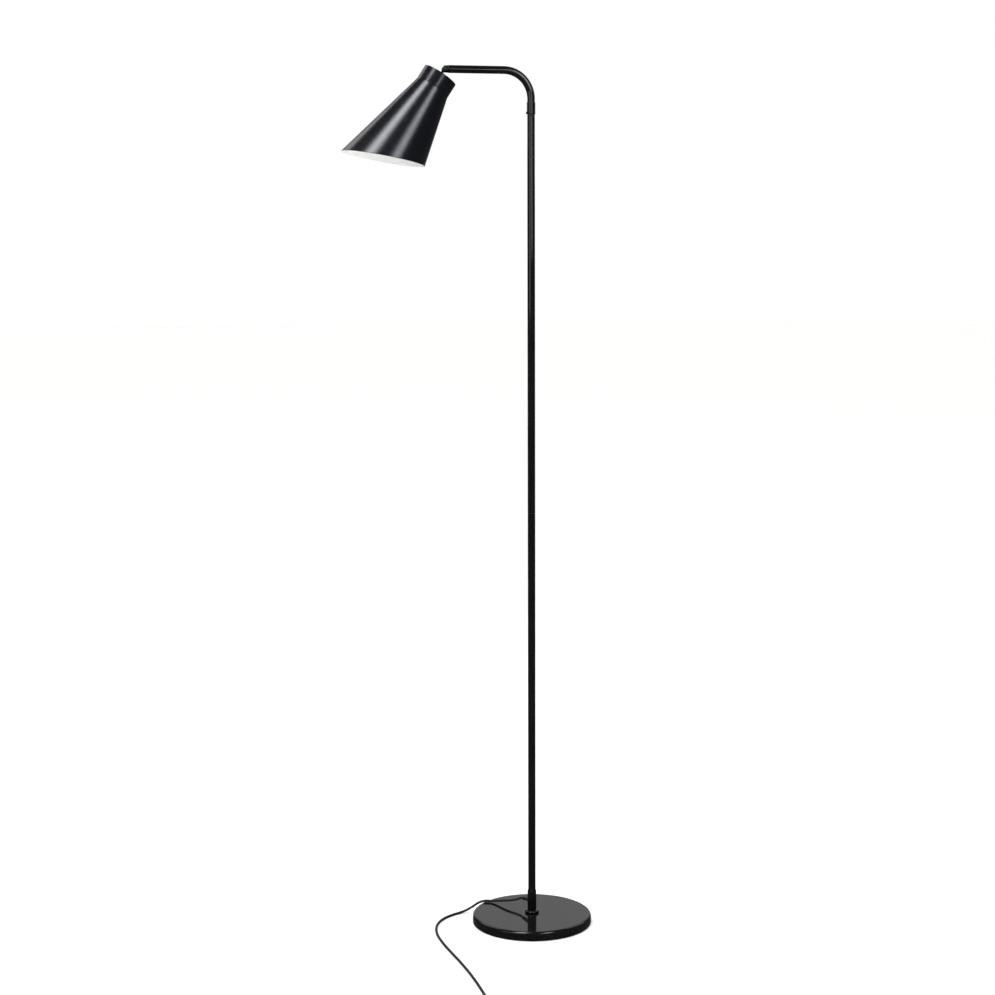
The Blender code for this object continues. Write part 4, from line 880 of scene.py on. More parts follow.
def coil_tie(diameter):
    """A soft strap round the coil's turns."""
    half_wide, thick = 0.0045, 0.0004
    inner = COIL_TURN_INNER - diameter / 2
    outer = COIL_TURN_OUTER + diameter / 2
    top = CORD_ON_FLOOR + 1.5 * diameter
    angle = math.radians(150.0)
    corners = [(inner - thick, thick / 2), (outer + thick, thick / 2), (outer + thick, top + thick),
               (inner - thick, top + thick)]
    hole = [(inner, thick * 1.5), (outer, thick * 1.5), (outer, top), (inner, top)]
    corners, hole = softened(corners, 0.0015, 6), softened(hole, 0.0012, 6)
    bm = bmesh.new()
    loops = []
    for y, outline in ((-half_wide, corners), (half_wide, corners), (half_wide, hole), (-half_wide, hole)):
        loops.append([bm.verts.new((x, y, z)) for x, z in outline])
    for first, second in zip(loops, loops[1:] + loops[:1]):
        join_rings(bm, first, second)
    bmesh.ops.recalc_face_normals(bm, faces=bm.faces)
    place = Matrix.Translation(COIL_CENTRE) @ Matrix.Rotation(angle, 4, "Z")
    return solid_from(bm, "coil_tie", paint("cord_sheath"), place)


class LAMP_OT_cord(bpy.types.Operator):
    """Makes the mains lead, from the foot of the pole to the foot switch and on to the plug"""

    bl_idname = "lamp.cord"
    bl_label = "Cord"

    def execute(self, context):
        diameter = sizes().cord_diameter
        lamp_exit = relief_tip("cord_outlet_relief", OUTLET_ORIGIN, OUTLET_WAY)
        centre, inlet = switch_side(1)
        switch_in = relief_tip("foot_switch_inlet_relief", centre, inlet)
        route = [lamp_exit, lamp_exit + OUTLET_WAY * diameter, *map(Vector, LEAD_ROUTE), switch_in]
        line = smooth_line(route)
        lead = cord_curve("lead_to_switch", line, diameter)
        placed(lead, "stand", "cord_pvc", "cord_lead")

        centre, outlet = switch_side(-1)
        switch_out = relief_tip("foot_switch_outlet_relief", centre, outlet)
        turns = coil_turns(diameter)
        line = smooth_line([switch_out, *map(Vector, MIDDLE_ROUTE), turns[0]])[:-1]
        line += turns
        line += smooth_line([turns[-1], *map(Vector, END_ROUTE), PLUG_END])[1:]
        coiled = cord_curve("lead_to_plug", line, diameter)
        placed(coiled, "stand", "cord_pvc", "cord_middle", "cord_coil", "cord_end")
        tie = placed(coil_tie(diameter), "stand", "cord_pvc")
        return {"FINISHED"}


# ---------------------------------------------------------------- strain reliefs
RELIEF_TAILS = {
    "cord_outlet_relief": 0.0200,
    "foot_switch_inlet_relief": 0.0160,
    "foot_switch_outlet_relief": 0.0160,
}


def ribbed_relief(name, node, origin, way):
    """A tapered strain relief with round ribs along its tail."""
    start, tip, head, _ = extent(node, origin, way)
    cord = sizes().cord_diameter / 2
    barrel, tail = cord + 0.0006, cord + 0.0005
    face = tip - RELIEF_TAILS[node]
    outline = [(0.0, start), (barrel, start), (barrel, face), (head, face), (head, face + 0.0014),
               (head - 0.0006, face + 0.0024), (tail, tip - 0.0006), (tail - 0.0003, tip), (0.0, tip)]
    skin = turned(name, outline, paint("cord_sheath"), segments=SMALL, edge=0.0003)
    ribs = grown(
        name + "_ribs", rings_tree(), count=sizes().relief_ribs, first_radius=head - 0.0007,
        last_radius=tail - 0.0001, first_height=face + 0.0042, last_height=tip - 0.0018,
        thickness=0.00045, material=paint("cord_sheath"),
    )
    piece = joined(name, skin, ribs)
    piece.data.transform(frame_along(origin, way, UP))
    return placed(piece, "stand", "cord_pvc", node)


class LAMP_OT_reliefs(bpy.types.Operator):
    """Makes the strain reliefs at the foot of the pole and on both sides of the foot switch"""

    bl_idname = "lamp.reliefs"
    bl_label = "Strain reliefs"

    def execute(self, context):
        ribbed_relief("outlet_relief", "cord_outlet_relief", OUTLET_ORIGIN, OUTLET_WAY)
        ribbed_relief("inlet_relief", "foot_switch_inlet_relief", *switch_side(1))
        ribbed_relief("switch_outlet_relief", "foot_switch_outlet_relief", *switch_side(-1))
        return {"FINISHED"}


# ---------------------------------------------------------------- foot switch and plug
def dome(window, foot, across, rise, steps=10):
    """Points of a quarter ellipse from the side up to a round window, both ends left out."""
    angles = [i / steps * math.pi / 2 for i in range(1, steps)]
    return [(window + across * math.cos(angle), foot + rise * math.sin(angle)) for angle in angles]


class LAMP_OT_foot_switch(bpy.types.Operator):
    """Makes the foot switch's two shells, its button and its return spring"""

    bl_idname = "lamp.foot_switch"
    bl_label = "Foot switch"

    def execute(self, context):
        low, seam, radius, _ = extent("foot_switch_base", SWITCH_CENTRE, UP)
        wall = SHELL_WALL
        place = Matrix.Translation(SWITCH_CENTRE)
        cup = [(0.0, low), (radius, low), (radius, seam), (radius - wall, seam), (radius - wall, wall),
               (0.0, wall)]
        base = turned("switch_base", cup, paint("moulded_black"), edge=0.0014)
        bore = sizes().cord_diameter / 2 + 0.0009
        for side in (1, -1):
            centre, way = switch_side(side)
            line = frame_along(centre - SWITCH_CENTRE, way, UP)
            cut_away(base, disc(bore, 0.5 * radius, 1.5 * radius, SMALL), line)
        base.data.transform(place)
        smooth_again(base)
        placed(base, "stand", "black_plastic", "foot_switch_base")

        low, top, radius, window = extent("foot_switch_cover", SWITCH_CENTRE, UP)
        crown = 0.0030
        spring_line = low + crown
        lid = [(radius - wall, low), (radius, low), (radius, spring_line)]
        lid += dome(window, spring_line, radius - window, top - low - crown)
        lid += [(window, top), (window, top - wall)]
        lid += reversed(dome(window, spring_line, radius - wall - window, top - wall - low - crown))
        cover = turned("switch_cover", lid, paint("moulded_black"), place, edge=0.0003)
        placed(cover, "stand", "black_plastic", "foot_switch_cover")

        low, top, flange, _ = extent("foot_switch_button", SWITCH_CENTRE, UP)
        radius = window - GAP
        flange_top = low + 0.0014
        knob = [(0.0, low), (flange, low), (flange, flange_top), (radius, flange_top), (radius, top - 0.0012)]
        knob += [(radius * math.cos(a), top - 0.0012 + 0.0012 * math.sin(a))
                 for a in (math.radians(12 * i) for i in range(1, 7))]
        knob += [(0.0, top)]
        cap = turned("switch_button", knob, paint("moulded_black"), edge=0.0002)
        grip = grown("switch_button_rings", rings_tree(), count=3, first_radius=0.0024, last_radius=0.0072,
                     first_height=top - 0.0002, last_height=top - 0.0004, thickness=0.0004,
                     material=paint("moulded_black"))
        button = joined("switch_button", cap, grip)
        button.data.transform(place)
        placed(button, "button", "black_plastic", "foot_switch_button")

        low, high, radius, _ = extent("foot_switch_spring", SWITCH_CENTRE, UP)
        wire = 0.0004
        coil = grown("return_spring", thread_tree(), radius=radius - wire, turns=3.0,
                     length=high - low - 2 * wire, thickness=wire, material=paint("zinc_plate"))
        coil.data.transform(place @ lifted(low + wire))
        placed(coil, "stand", "zinc_steel", "foot_switch_spring")
        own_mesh(coil)
        return {"FINISHED"}


class LAMP_OT_plug(bpy.types.Operator):
    """Makes the flat two-pin plug and its pins"""

    bl_idname = "lamp.plug"
    bl_label = "Plug"

    def execute(self, context):
        low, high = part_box("plug_body")
        centre = (low + high) / 2
        half_wide, half_high = (high.x - low.x) / 2, (high.z - low.z) / 2
        body_start = low.y + 0.0200
        length = high.y - body_start
        cord = sizes().cord_diameter / 2
        rows = 22
        around = 56
        bm = bmesh.new()
        loops = []
        for i in range(rows + 1):
            share = i / rows
            swell = share * share * (3 - 2 * share)
            wide, tall = 0.50 + 0.50 * swell, 0.66 + 0.34 * swell
            close = max(0.0, 1.0 - (1.0 - share) * length / 0.0025)
            round_off = 1.0 - 0.06 * (1.0 - math.sqrt(max(0.0, 1.0 - close * close)))
            waist = 1.0 - 0.07 * math.exp(-((share - 0.62) / 0.16) ** 2)
            loop = []
            for k in range(around):
                angle = math.tau * k / around
                across, up = math.cos(angle), math.sin(angle)
                size = (abs(across) ** 3 + abs(up) ** 3) ** (1 / 3)
                loop.append(bm.verts.new((
                    centre.x + half_wide * wide * waist * round_off * across / size,
                    body_start + share * length,
                    centre.z + half_high * tall * round_off * up / size,
                )))
            loops.append(loop)
        for first, second in zip(loops, loops[1:]):
            join_rings(bm, first, second)
        bm.faces.new(loops[0])
        bm.faces.new(loops[-1])
        bmesh.ops.recalc_face_normals(bm, faces=bm.faces)
        body = solid_from(bm, "plug_moulding", paint("moulded_black"))
        along = frame_along(Vector((centre.x, 0.0, centre.z)), ACROSS, UP)
        start = low.y
        tail = turned("plug_tail", [(0.0, start), (cord + 0.0005, start), (cord + 0.0016, body_start),
                                    (cord + 0.0026, body_start + 0.0040), (0.0, body_start + 0.0040)],
                      paint("moulded_black"), along, SMALL, edge=0.0004)
        ribs = grown("plug_ribs", rings_tree(), along, count=sizes().relief_ribs, first_radius=cord + 0.0004,
                     last_radius=cord + 0.0013, first_height=start + 0.0020, last_height=body_start - 0.0020,
                     thickness=0.0005, material=paint("moulded_black"))
        body = joined("plug_moulding", body, tail, ribs)
        placed(body, "stand", "black_plastic", "plug_body")

        pins = []
        for node in ("plug_pin_left", "plug_pin_right"):
            pin_low, pin_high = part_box(node)
            radius = (pin_high.x - pin_low.x) / 2
            line = frame_along(Vector(((pin_low.x + pin_high.x) / 2, 0.0, centre.z)), ACROSS, UP)
            metal = [(0.0, pin_low.y), (0.9 * radius, pin_low.y), (radius, pin_high.y - 0.0022)]
            metal += profile_arc(0.0, pin_high.y - 0.0022, radius, 20, 90, 7)
            metal[-1] = (0.0, pin_high.y)
            pins.append(turned(node + "_metal", metal, paint("rolled_brass"), line, SMALL))
            sleeve = sleeve_outline(0.5 * radius, radius + 0.00005, pin_low.y + 0.0002, pin_high.y - 0.0095)
            pins.append(turned(node + "_sleeve", sleeve, paint("moulded_black"), line, SMALL))
        prongs = joined("plug_prongs", *pins)
        placed(prongs, "stand", "brass", "plug_pin_left", "plug_pin_right")
        return {"FINISHED"}


# ---------------------------------------------------------------- base and pole
class LAMP_OT_base(bpy.types.Operator):
    """Makes the round base's pressed steel cover, with its rolled edge"""

    bl_idname = "lamp.base"
    bl_label = "Base"

    def execute(self, context):
        low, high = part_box("base_cover")
        radius, top, lift = high.x, high.z, low.z
        wall, edge = sizes().cover_wall, sizes().base_edge
        hole = about_pole("base_cover")[3]
        hem = 0.0005
        outline = [(hole, top)]
        outline += profile_arc(radius - edge, top - edge, edge, 90, 0, 16)
        outline += profile_arc(radius - hem, lift + hem, hem, 0, -90, 4)
        outline += profile_arc(radius - wall + hem, lift + hem, hem, -90, -180, 4)
        outline += profile_arc(radius - edge, top - edge, edge - wall, 0, 90, 12)
        outline += [(hole, top - wall)]
        cover = turned("base_shell", outline, paint("gloss_lacquer"), segments=FINE)
        placed(cover, "stand", "gloss_black_lacquer", "base_cover")
        return {"FINISHED"}


class LAMP_OT_foot(bpy.types.Operator):
    """Makes the flange and the socket that hold the pole on the base"""

    bl_idname = "lamp.foot"
    bl_label = "Foot of the pole"

    def execute(self, context):
        low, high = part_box("foot_flange")
        bore = about_pole("foot_flange")[3]
        radius, round_edge, chamfer = high.x, 0.0018, 0.0006
        crown = high.z - chamfer
        socket_low, socket_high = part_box("foot_ferrule")
        sleeve = socket_high.x
        outline = [(bore, low.z), (radius - chamfer, low.z)]
        outline += profile_arc(radius - chamfer, low.z + chamfer, chamfer, -60, 0, 4)
        outline += profile_arc(radius - round_edge, crown - round_edge, round_edge, 0, 80, 8)
        outline += [(sleeve + 0.0012, high.z - 0.0002), (sleeve + 0.0006, high.z), (bore, high.z)]
        flange = turned("pole_flange", outline, paint("gloss_lacquer"))
        placed(flange, "stand", "gloss_black_lacquer", "foot_flange")

        top, bottom = socket_high.z, socket_low.z
        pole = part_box("lower_pole")[1].x
        mouth, cavity, lip = pole + GAP, 0.0050, 0.0008
        seat, cavity_floor = top - 0.0130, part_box("base_bolt")[1].z + GAP
        outline = [(bore, bottom)]
        outline += profile_arc(sleeve - 0.0006, bottom + 0.0006, 0.0006, -90, 0, 4)
        outline += profile_arc(sleeve - 0.0030, top - 0.0150, 0.0030, 0, 3, 2)
        outline += [(mouth + lip, top - 0.0012), (mouth + 0.85 * lip, top - 0.0004), (mouth + 0.4 * lip, top),
                    (mouth, top - 0.0002), (mouth, seat), (cavity, seat), (cavity, cavity_floor),
                    (bore, cavity_floor)]
        socket = turned("pole_socket", outline, paint("gloss_lacquer"))
        hole = extent("cord_outlet_relief", OUTLET_ORIGIN, OUTLET_WAY)[0]
        barrel = sizes().cord_diameter / 2 + 0.0009
        cut_away(socket, disc(barrel, 0.0, 4 * hole, SMALL), frame_along(OUTLET_ORIGIN, OUTLET_WAY, UP))
        smooth_again(socket)
        placed(socket, "stand", "gloss_black_lacquer", "foot_ferrule")
        return {"FINISHED"}


def pole_section(name, node):
    low, high, outer, inner = about_pole(node)
    piece = turned(name, sleeve_outline(inner, outer, low, high), paint("gloss_lacquer"), edge=0.0005)
    return placed(piece, "stand", "gloss_black_lacquer", node)


class LAMP_OT_pole(bpy.types.Operator):
    """Makes the pole's two steel tubes"""

    bl_idname = "lamp.pole"
    bl_label = "Pole"

    def execute(self, context):
        pole_section("pole_lower_tube", "lower_pole")
        pole_section("pole_upper_tube", "upper_pole")
        return {"FINISHED"}


# ---------------------------------------------------------------- arm
def swept(name, outline, path, material, segments=ROUND):
    """A turned piece bent along a path: path(distance) gives a centre and the tube's tilt from +Z."""
    bm = bmesh.new()
    rings = []
    for radius, along in supported(outline):
        centre, tilt = path(along)
        ring = []
        for k in range(segments):
            around = math.tau * k / segments
            side, across = radius * math.cos(around), radius * math.sin(around)
            place = Vector((side * math.cos(tilt), across, side * math.sin(tilt)))
            ring.append(bm.verts.new(centre + place))
        rings.append(ring)
    for first, second in zip(rings, rings[1:] + rings[:1]):
        join_rings(bm, first, second)
    bmesh.ops.recalc_face_normals(bm, faces=bm.faces)
    return solid_from(bm, name, material)


def arm_line(distance):
    """The arm's centre line, from its lower end: a short leg, the bend and the run along -X."""
    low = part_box("arm_tube")[0]
    bend = sizes().bend_radius
    leg = HINGE.z - bend - low.z
    turn = min(max((distance - leg) / bend, 0.0), math.pi / 2)
    straight = max(distance - leg - bend * math.pi / 2, 0.0)
    rise = low.z + min(distance, leg)
    centre = Vector((bend * (math.cos(turn) - 1.0) - straight, 0.0, rise + bend * math.sin(turn)))
    return centre, turn


class LAMP_OT_arm(bpy.types.Operator):
    """Makes the bent arm, its swivel collar and the stop screw"""

    bl_idname = "lamp.arm"
    bl_label = "Arm"

    def execute(self, context):
        low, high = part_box("arm_tube")
        outer = high.y
        inner = outer - TUBE_WALL
        bend = sizes().bend_radius
        leg = HINGE.z - bend - low.z
        bend_end = leg + bend * math.pi / 2
        length = bend_end - low.x - bend
        stations = [0.0006, leg * 0.5, leg]
        stations += [leg + (bend_end - leg) * i / 40 for i in range(1, 41)]
        stations += [bend_end + (length - bend_end) * i / 6 for i in range(1, 6)] + [length - 0.0006]
        outline = [(inner + 0.0003, 0.0), (outer - 0.0003, 0.0), (outer, 0.0003)]
        outline += [(outer, along) for along in stations]
        outline += [(outer, length - 0.0003), (outer - 0.0003, length), (inner + 0.0003, length)]
        outline += [(inner, along) for along in reversed(stations)]
        tube = swept("bent_arm", outline, arm_line, paint("gloss_lacquer"))
        placed(tube, "arm", "gloss_black_lacquer", "arm_tube")

        bottom, top, radius, bore = about_pole("arm_collar")
        socket = outer + GAP
        lead_in = 0.0006
        outline = [(bore, bottom)]
        outline += profile_arc(radius - lead_in, bottom + lead_in, lead_in, -90, 0, 5)
        outline += profile_arc(radius - 0.0004, top - 0.0004, 0.0004, 0, 90, 5)
        outline += [(socket, top), (socket, bottom + 0.0040), (bore, bottom + 0.0040)]
        collar = turned("swivel_collar", outline, paint("gloss_lacquer"))
        screw_line = (Vector((0.0, 0.0, middle("swivel_stop_screw").z)), -ALONG)
        tip, head_top, head, _ = extent("swivel_stop_screw", *screw_line)
        shank = 0.0012
        cut_away(collar, disc(shank + GAP, 0.0, 2 * radius, SMALL), frame_along(*screw_line))
        smooth_again(collar)
        placed(collar, "arm", "gloss_black_lacquer", "arm_collar")

        face = radius + GAP
        outline = [(0.0, tip), (shank * 0.8, tip), (shank, tip + 0.0003), (shank, face), (head, face)]
        outline += profile_arc(head - 0.0007, head_top - 0.0007, 0.0007, 0, 90, 6)
        outline += [(0.0, head_top)]
        screw = turned("collar_screw", outline, paint("black_oxide"), segments=SMALL)
        cut_away(screw, disc(0.0012, head_top - 0.0006, head_top + 0.001, 6), Matrix.Identity(4))
        screw.data.transform(frame_along(*screw_line))
        smooth_again(screw)
        placed(screw, "arm", "black_screw", "swivel_stop_screw")
        return {"FINISHED"}


# ---------------------------------------------------------------- hinge
def rounded(obj, width):
    """Rounds a piece's sharp edges."""
    modifier = obj.modifiers.new("rounding", "BEVEL")
    modifier.width = width
    modifier.segments = 2
    modifier.limit_method = "ANGLE"
    modifier.angle_limit = math.radians(40.0)
    modifier.harden_normals = False
    modifier.use_clamp_overlap = True
    return baked(obj)


class LAMP_OT_hinge(bpy.types.Operator):
    """Makes the forked end of the arm, the tilting stem and the hinge's screw and nut"""

    bl_idname = "lamp.hinge"
    bl_label = "Hinge"

    def execute(self, context):
        across = frame_along(HINGE, ACROSS, UP)
        toward_arm = frame_along(HINGE, ALONG)
        arm_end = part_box("arm_tube")[0].x - HINGE.x
        arm_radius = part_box("arm_tube")[1].y
        eye, slot = 0.0041, 0.0044
        pin = PIN_RADIUS + GAP
        neck, shoulder = arm_radius - 0.0004, arm_end - GAP
        width = 2 * (neck + GAP)
        plug = arm_radius - TUBE_WALL - GAP
        taper = shoulder - 0.0027
        outline = [(0.0, -0.0010)]
        outline += profile_arc(neck - 0.0010, 0.0, 0.0010, -90, 0, 5)
        outline += [(neck, taper), (neck, shoulder - 0.0015), (arm_radius - 0.0001, shoulder - 0.0012),
                    (arm_radius, shoulder - 0.0009), (arm_radius, shoulder - 0.0002),
                    (arm_radius - 0.0002, shoulder), (plug, shoulder), (plug, shoulder + 0.0115),
                    (plug - 0.0005, shoulder + 0.0120), (0.0, shoulder + 0.0120)]
        fork = turned("hinge_fork", outline, paint("gloss_lacquer"), toward_arm)
        cut_away(fork, disc(eye, -width / 2, width / 2), across, "UNION")
        cut_away(fork, box_bmesh((-2 * eye, -slot / 2, -2 * eye), (0.0036 + 2 * GAP, slot / 2, 2 * eye)),
                 Matrix.Translation(HINGE))
        cut_away(fork, disc(pin, -width, width, SMALL), across)
        smooth_again(fork)
        placed(fork, "arm", "gloss_black_lacquer", "arm_knuckle")

        _, end, shoulder_radius, _ = along_head("head_stem")
        stem, tongue_eye, half = 0.0025, 0.0036, 0.0012
        clear = neck + 2 * GAP
        plate = along_head("shade_carrier")[0] - GAP
        outline = [(0.0, clear), (stem, clear), (stem, plate - 0.0020)]
        outline += [(stem + 0.0004, plate - 0.0017), (shoulder_radius - 0.0008, plate - 0.0016),
                    (shoulder_radius - 0.0002, plate - 0.0014), (shoulder_radius, plate - 0.0010),
                    (shoulder_radius, plate), (stem, plate), (stem, end - 0.0004), (stem - 0.0004, end),
                    (0.0, end)]
        rod = turned("tilt_stem", outline, paint("gloss_lacquer"), HEAD, SMALL)
        cut_away(rod, disc(tongue_eye, -half, half), across, "UNION")
        cut_away(rod, box_bmesh((-0.92 * stem, -half, 0.0), (0.92 * stem, half, clear + stem)), HEAD, "UNION")
        cut_away(rod, disc(pin, -4 * half, 4 * half, SMALL), across)
        smooth_again(rod)
        placed(rod, "head", "gloss_black_lacquer", "head_stem")

        head, thick = 0.0029, 0.0016
        face = width / 2 + GAP
        far = face + 1.5 * thick
        outline = [(0.0, -face - thick)]
        outline += [(radius, -height) for radius, height in reversed(profile_arc(
            head - 0.0010, face + thick - 0.0010, 0.0010, 0, 90, 6))]
        outline += [(head, -face), (PIN_RADIUS, -face), (PIN_RADIUS, far - 0.0004),
                    (PIN_RADIUS - 0.0004, far), (0.0, far)]
        bolt = turned("hinge_bolt", outline, paint("black_oxide"), segments=SMALL)
        cut_away(bolt, disc(0.0014, -face - thick - 0.001, -face - thick + 0.0010, 6), Matrix.Identity(4))
        bolt.data.transform(across)
        smooth_again(bolt)
        placed(bolt, "arm", "black_screw", "hinge_screw")

        nut = solid_from(turned_bmesh(sleeve_outline(pin, head, face, face + thick), 6), "hinge_bolt_nut",
                         paint("black_oxide"), across)
        rounded(nut, 0.00025)
        smooth_again(nut)
        placed(nut, "arm", "black_screw", "hinge_nut")
        return {"FINISHED"}


# ---------------------------------------------------------------- shade
class LAMP_OT_shade(bpy.types.Operator):
    """Makes the spun shade, cut slanting at its rim, and the vented plate inside its collar"""

    bl_idname = "lamp.shade"
    bl_label = "Shade"

    def execute(self, context):
        size = sizes()
        wall, corner = size.shade_wall, size.crease_radius
        start = along_head("shade")[0]
        plate_start, plate_end, plate_radius, bore = along_head("shade_carrier")
        collar = plate_radius + GAP + wall
        crease = start + size.shade_collar
        slope, cosine, sine = math.tan(size.cone_angle), math.cos(size.cone_angle), math.sin(size.cone_angle)
        turn = math.degrees(size.cone_angle)
        arc_start = crease - corner * math.tan(size.cone_angle / 2)
        arc_end = arc_start + corner * sine

        def cone(along):
            return collar + slope * (along - crease)

        wide, narrow = cone(size.long_side), cone(size.short_side)
        lean = (size.long_side - size.short_side) / (wide + narrow)
        level = size.long_side - lean * wide

        def rim(across):
            """Where the slanted cut meets the outside, at this cosine of the angle round the axis."""
            return (level + lean * across * (collar - slope * crease)) / (1.0 - lean * across * slope)

        lip_edge, bead = collar - size.shade_lip, 0.0006
        above = [(collar - 0.0010, start), (collar - 0.0006, start + 0.00008)]
        above += profile_arc(collar - 0.0006, start + 0.0007, 0.0006, -60, 0, 4)
        above += [(collar, start + 0.0016), (collar, 0.5 * (start + arc_start)), (collar, arc_start - 0.0008)]
        above += profile_arc(collar + corner, arc_start, corner, 180, 180 - turn, 8)
        under = profile_arc(collar + corner, arc_start, corner + wall, 180 - turn, 180, 8)
        under += [(collar - wall, arc_start - 0.0008), (collar - wall, start + wall + 0.0014)]
        under += profile_arc(collar - wall - bead, start + wall + bead, bead, 0, -90, 4)
        under += [(lip_edge + 0.0003, start + wall), (lip_edge, start + 0.7 * wall),
                  (lip_edge, start + 0.3 * wall), (lip_edge + 0.0003, start)]
        rows, rim_steps, rim_margin = 26, 8, 0.0012

        segments = FINE + ROUND
        columns = []
        for k in range(segments):
            around = math.tau * k / segments
            edge = rim(math.cos(around)) - wall / 2
            centre_r, centre_s = cone(edge) - 0.5 * wall / cosine, edge
            profile = list(above)
            last = edge + 0.5 * wall * sine
            shares = [i / rows for i in range(1, rows)]
            outside = [arc_end + share * (last - rim_margin - arc_end) for share in shares]
            outside += [last - rim_margin, last - 0.4 * rim_margin]
            profile += [(cone(along), along) for along in outside]
            for i in range(rim_steps + 1):
                angle = math.pi * i / rim_steps
                out, down = 0.5 * wall * math.cos(angle), 0.5 * wall * math.sin(angle)
                profile.append((centre_r + out * cosine + down * sine, centre_s - out * sine + down * cosine))
            inner_end = edge - 0.5 * wall * sine
            inside = [arc_end + share * (inner_end - rim_margin - arc_end) for share in shares]
            inside += [inner_end - rim_margin, inner_end - 0.4 * rim_margin]
            profile += [(cone(along) - wall / cosine, along) for along in reversed(inside)]
            profile += under
            columns.append([(r * math.cos(around), r * math.sin(around), s) for r, s in profile])

        bm = bmesh.new()
        rings = [[bm.verts.new(column[i]) for column in columns] for i in range(len(columns[0]))]
        outside_rings = len(above) + rows + 1 + rim_steps // 2
        for i, (first, second) in enumerate(zip(rings, rings[1:] + rings[:1])):
            before = len(bm.faces)
            join_rings(bm, first, second)
            bm.faces.ensure_lookup_table()
            for face in bm.faces[before:]:
                face.material_index = 0 if i < outside_rings or i == len(rings) - 1 else 1
        bmesh.ops.recalc_face_normals(bm, faces=bm.faces)
        shell = solid_from(bm, "shade_shell", paint("shade_gloss"), HEAD)
        shell.data.materials.append(paint("shade_satin_white"))
        placed(shell, "head", "shade_lacquer", "shade")

        outline = sleeve_outline(bore, plate_radius, plate_start, plate_end)
        plate = turned("vent_plate", outline, paint("gloss_lacquer"), segments=FINE, edge=0.00025)
        plate_middle = 0.5 * (plate_start + plate_end)
        plate.data.transform(lifted(-plate_middle))
        grown("vent_plate", perforated_tree(), source=plate, count=size.vent_count, hole_radius=VENT_RADIUS,
              circle_radius=VENT_CIRCLE, depth=0.02, material=paint("gloss_lacquer"))
        plate.data.transform(HEAD @ lifted(plate_middle))
        smooth_again(plate)
        placed(plate, "head", "gloss_black_lacquer", "shade_carrier")
        return {"FINISHED"}


# ---------------------------------------------------------------- lampholder and lamp
class LAMP_OT_lampholder(bpy.types.Operator):
    """Makes the moulded lampholder's cap and skirt, with grip rings"""

    bl_idname = "lamp.lampholder"
    bl_label = "Lampholder"

    def execute(self, context):
        start, end, radius, bore = along_head("lampholder_cap")
        wall, neck = SHELL_WALL, 0.0065
        outline = [(bore, start), (neck - 0.0005, start), (neck, start + 0.0005),
                   (neck + 0.0004, start + 0.0038), (neck + 0.0014, start + 0.0046)]
        outline += [(neck + 0.0014 + (radius - neck - 0.0014) * math.sin(a),
                     start + 0.0046 + 0.0054 * (1 - math.cos(a)))
                    for a in (math.radians(9 * i) for i in range(1, 11))]
        outline += [(radius, end - 0.0002), (radius - 0.0002, end), (radius - wall, end),
                    (radius - wall - 0.0008, start + 0.0095), (bore, start + 0.0070)]
        cap = turned("holder_cap", outline, paint("moulded_black"), HEAD)
        placed(cap, "head", "black_plastic", "lampholder_cap")

        start, end, radius, _ = along_head("lampholder_body")
        grip = radius - 0.0005
        outline = [(radius - wall, start), (radius - 0.0002, start), (radius, start + 0.0002),
                   (radius, start + 0.0060), (grip, start + 0.0065), (grip, end - 0.0065),
                   (radius, end - 0.0060), (radius, end - 0.0008), (radius - 0.0003, end - 0.0002),
                   (radius - 0.0007, end),
                   (radius - wall + 0.0003, end), (radius - wall, end - 0.0003)]
        skirt = turned("holder_skirt", outline, paint("moulded_black"))
        ribs = grown("holder_rings", rings_tree(), count=9,
                     first_radius=grip - 0.0001, last_radius=grip - 0.0001,
                     first_height=start + 0.0090, last_height=end - 0.0090,
                     thickness=0.0006, material=paint("moulded_black"))
        body = joined("holder_skirt", skirt, ribs)
        body.data.transform(HEAD)
        placed(body, "head", "black_plastic", "lampholder_body")
        return {"FINISHED"}


class LAMP_OT_lamp(bpy.types.Operator):
    """Makes the opal lamp and its threaded cap"""

    bl_idname = "lamp.lamp"
    bl_label = "Lamp"

    def execute(self, context):
        start, end, radius, _ = along_head("bulb_cap")
        bar = 0.0007
        core = radius - 2 * bar
        outline = [(0.0, start), (0.0034, start), (0.0040, start + 0.0010), (0.0042, start + 0.0014),
                   (0.0088, start + 0.0030), (core - 0.0006, start + 0.0048), (core, start + 0.0058),
                   (core, end - 0.0045), (radius - 0.0003, end - 0.0035), (radius, end - 0.0030),
                   (radius, end - 0.0002), (radius - 0.0002, end), (0.0, end)]
        shell = turned("lamp_cap", outline, paint("zinc_plate"))
        thread = grown("lamp_thread", thread_tree(), radius=radius - bar, turns=3.6, length=0.0128,
                       thickness=bar, material=paint("zinc_plate"))
        thread.data.transform(lifted(start + 0.0058))
        cap = joined("lamp_cap", shell, thread)
        cap.data.transform(HEAD)
        placed(cap, "head", "zinc_steel", "bulb_cap")

        start, end, radius, _ = along_head("bulb_glass")
        neck = along_head("bulb_cap")[2]
        centre = end - radius
        outline = [(0.0, start), (neck - 0.0010, start), (neck - 0.0002, start + 0.0004)]
        join = math.degrees(math.acos((neck + 0.0010) / radius))
        arc = profile_arc(0.0, centre, radius, -join, 90, 28)
        foot = Vector((neck - 0.0002, start + 0.0004))
        shoulder = Vector(arc[0])
        for i in range(1, 8):
            share = i / 8
            across = foot.x + (shoulder.x - foot.x) * share * share
            outline.append((across, foot.y + (shoulder.y - foot.y) * share))
        outline += arc[:-1] + [(0.0, end)]
        glass = turned("lamp_glass", outline, paint("opal_glass"), HEAD)
        placed(glass, "head", "opal_glass", "bulb_glass")
        return {"FINISHED"}


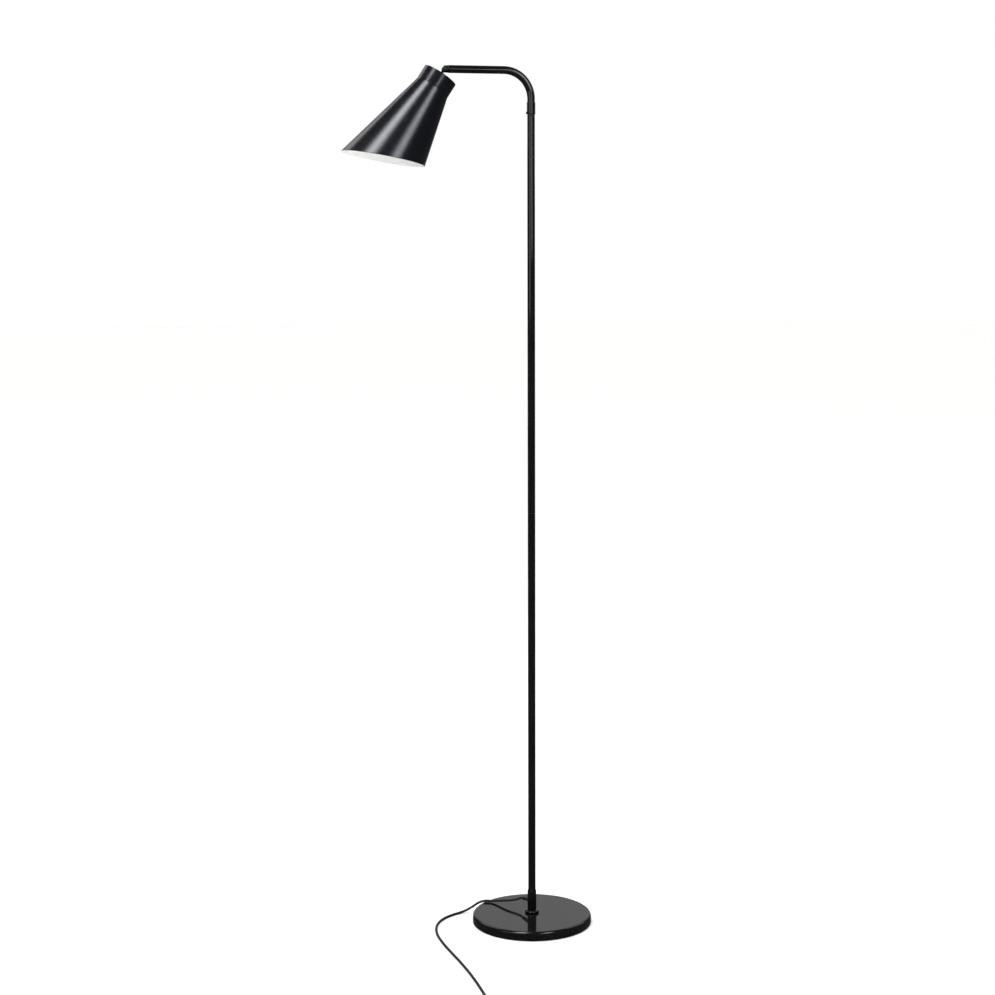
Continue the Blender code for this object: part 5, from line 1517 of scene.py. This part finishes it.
# ---------------------------------------------------------------- pieces kept from the frame
KEPT = {
    "base_weight": "sand_cast_iron",
    "base_pad": "foam_rubber",
    "base_bolt": "zinc_plate",
    "base_bolt_washer": "zinc_plate",
    "pole_joiner": "zinc_plate",
    "pole_cable": "cord_sheath",
    "arm_cable": "cord_sheath",
    "swivel_spindle": "black_oxide",
    "swivel_washer": "natural_nylon",
    "swivel_nut": "zinc_plate",
    "friction_washer_front": "natural_nylon",
    "friction_washer_rear": "natural_nylon",
    "stem_nut": "zinc_plate",
    "lampholder_core": "fired_steatite",
    "contact_sleeve": "rolled_brass",
    "centre_contact": "rolled_brass",
    "foot_switch_contact_block": "natural_nylon",
}


class LAMP_OT_inner_parts(bpy.types.Operator):
    """Gives the pieces kept from the frame, mostly inside, their materials"""

    bl_idname = "lamp.inner_parts"
    bl_label = "Inner parts"

    def execute(self, context):
        for node, material in KEPT.items():
            frame["nodes"][node].material_slots[0].material = paint(material)
        return {"FINISHED"}


# ---------------------------------------------------------------- add-on
STEPS = (
    LAMP_OT_stage,
    LAMP_OT_reliefs,
    LAMP_OT_foot_switch,
    LAMP_OT_plug,
    LAMP_OT_cord,
    LAMP_OT_base,
    LAMP_OT_foot,
    LAMP_OT_pole,
    LAMP_OT_arm,
    LAMP_OT_hinge,
    LAMP_OT_shade,
    LAMP_OT_lampholder,
    LAMP_OT_lamp,
    LAMP_OT_inner_parts,
)


class LAMP_PT_panel(bpy.types.Panel):
    """Lists the lamp's sizes, colours and building steps"""

    bl_idname = "LAMP_PT_panel"
    bl_label = "Bent-arm floor lamp"
    bl_space_type = "VIEW_3D"
    bl_region_type = "UI"
    bl_category = "Floor lamp"

    def draw(self, context):
        layout = self.layout
        for group in (context.scene.lamp_colours, context.scene.lamp_sizes):
            column = layout.column()
            for name in group.__annotations__:
                column.prop(group, name)
        for step in STEPS:
            layout.operator(step.bl_idname)


CLASSES = (LampColours, LampSizes, *STEPS, LAMP_PT_panel)


def register():
    for cls in CLASSES:
        bpy.utils.register_class(cls)
    bpy.types.Scene.lamp_colours = PointerProperty(type=LampColours)
    bpy.types.Scene.lamp_sizes = PointerProperty(type=LampSizes)


def unregister():
    del bpy.types.Scene.lamp_sizes
    del bpy.types.Scene.lamp_colours
    for cls in reversed(CLASSES):
        bpy.utils.unregister_class(cls)


def main():
    register()
    for step in STEPS:
        group, name = step.bl_idname.split(".")
        getattr(getattr(bpy.ops, group), name)()


if __name__ == "__main__":
    main()
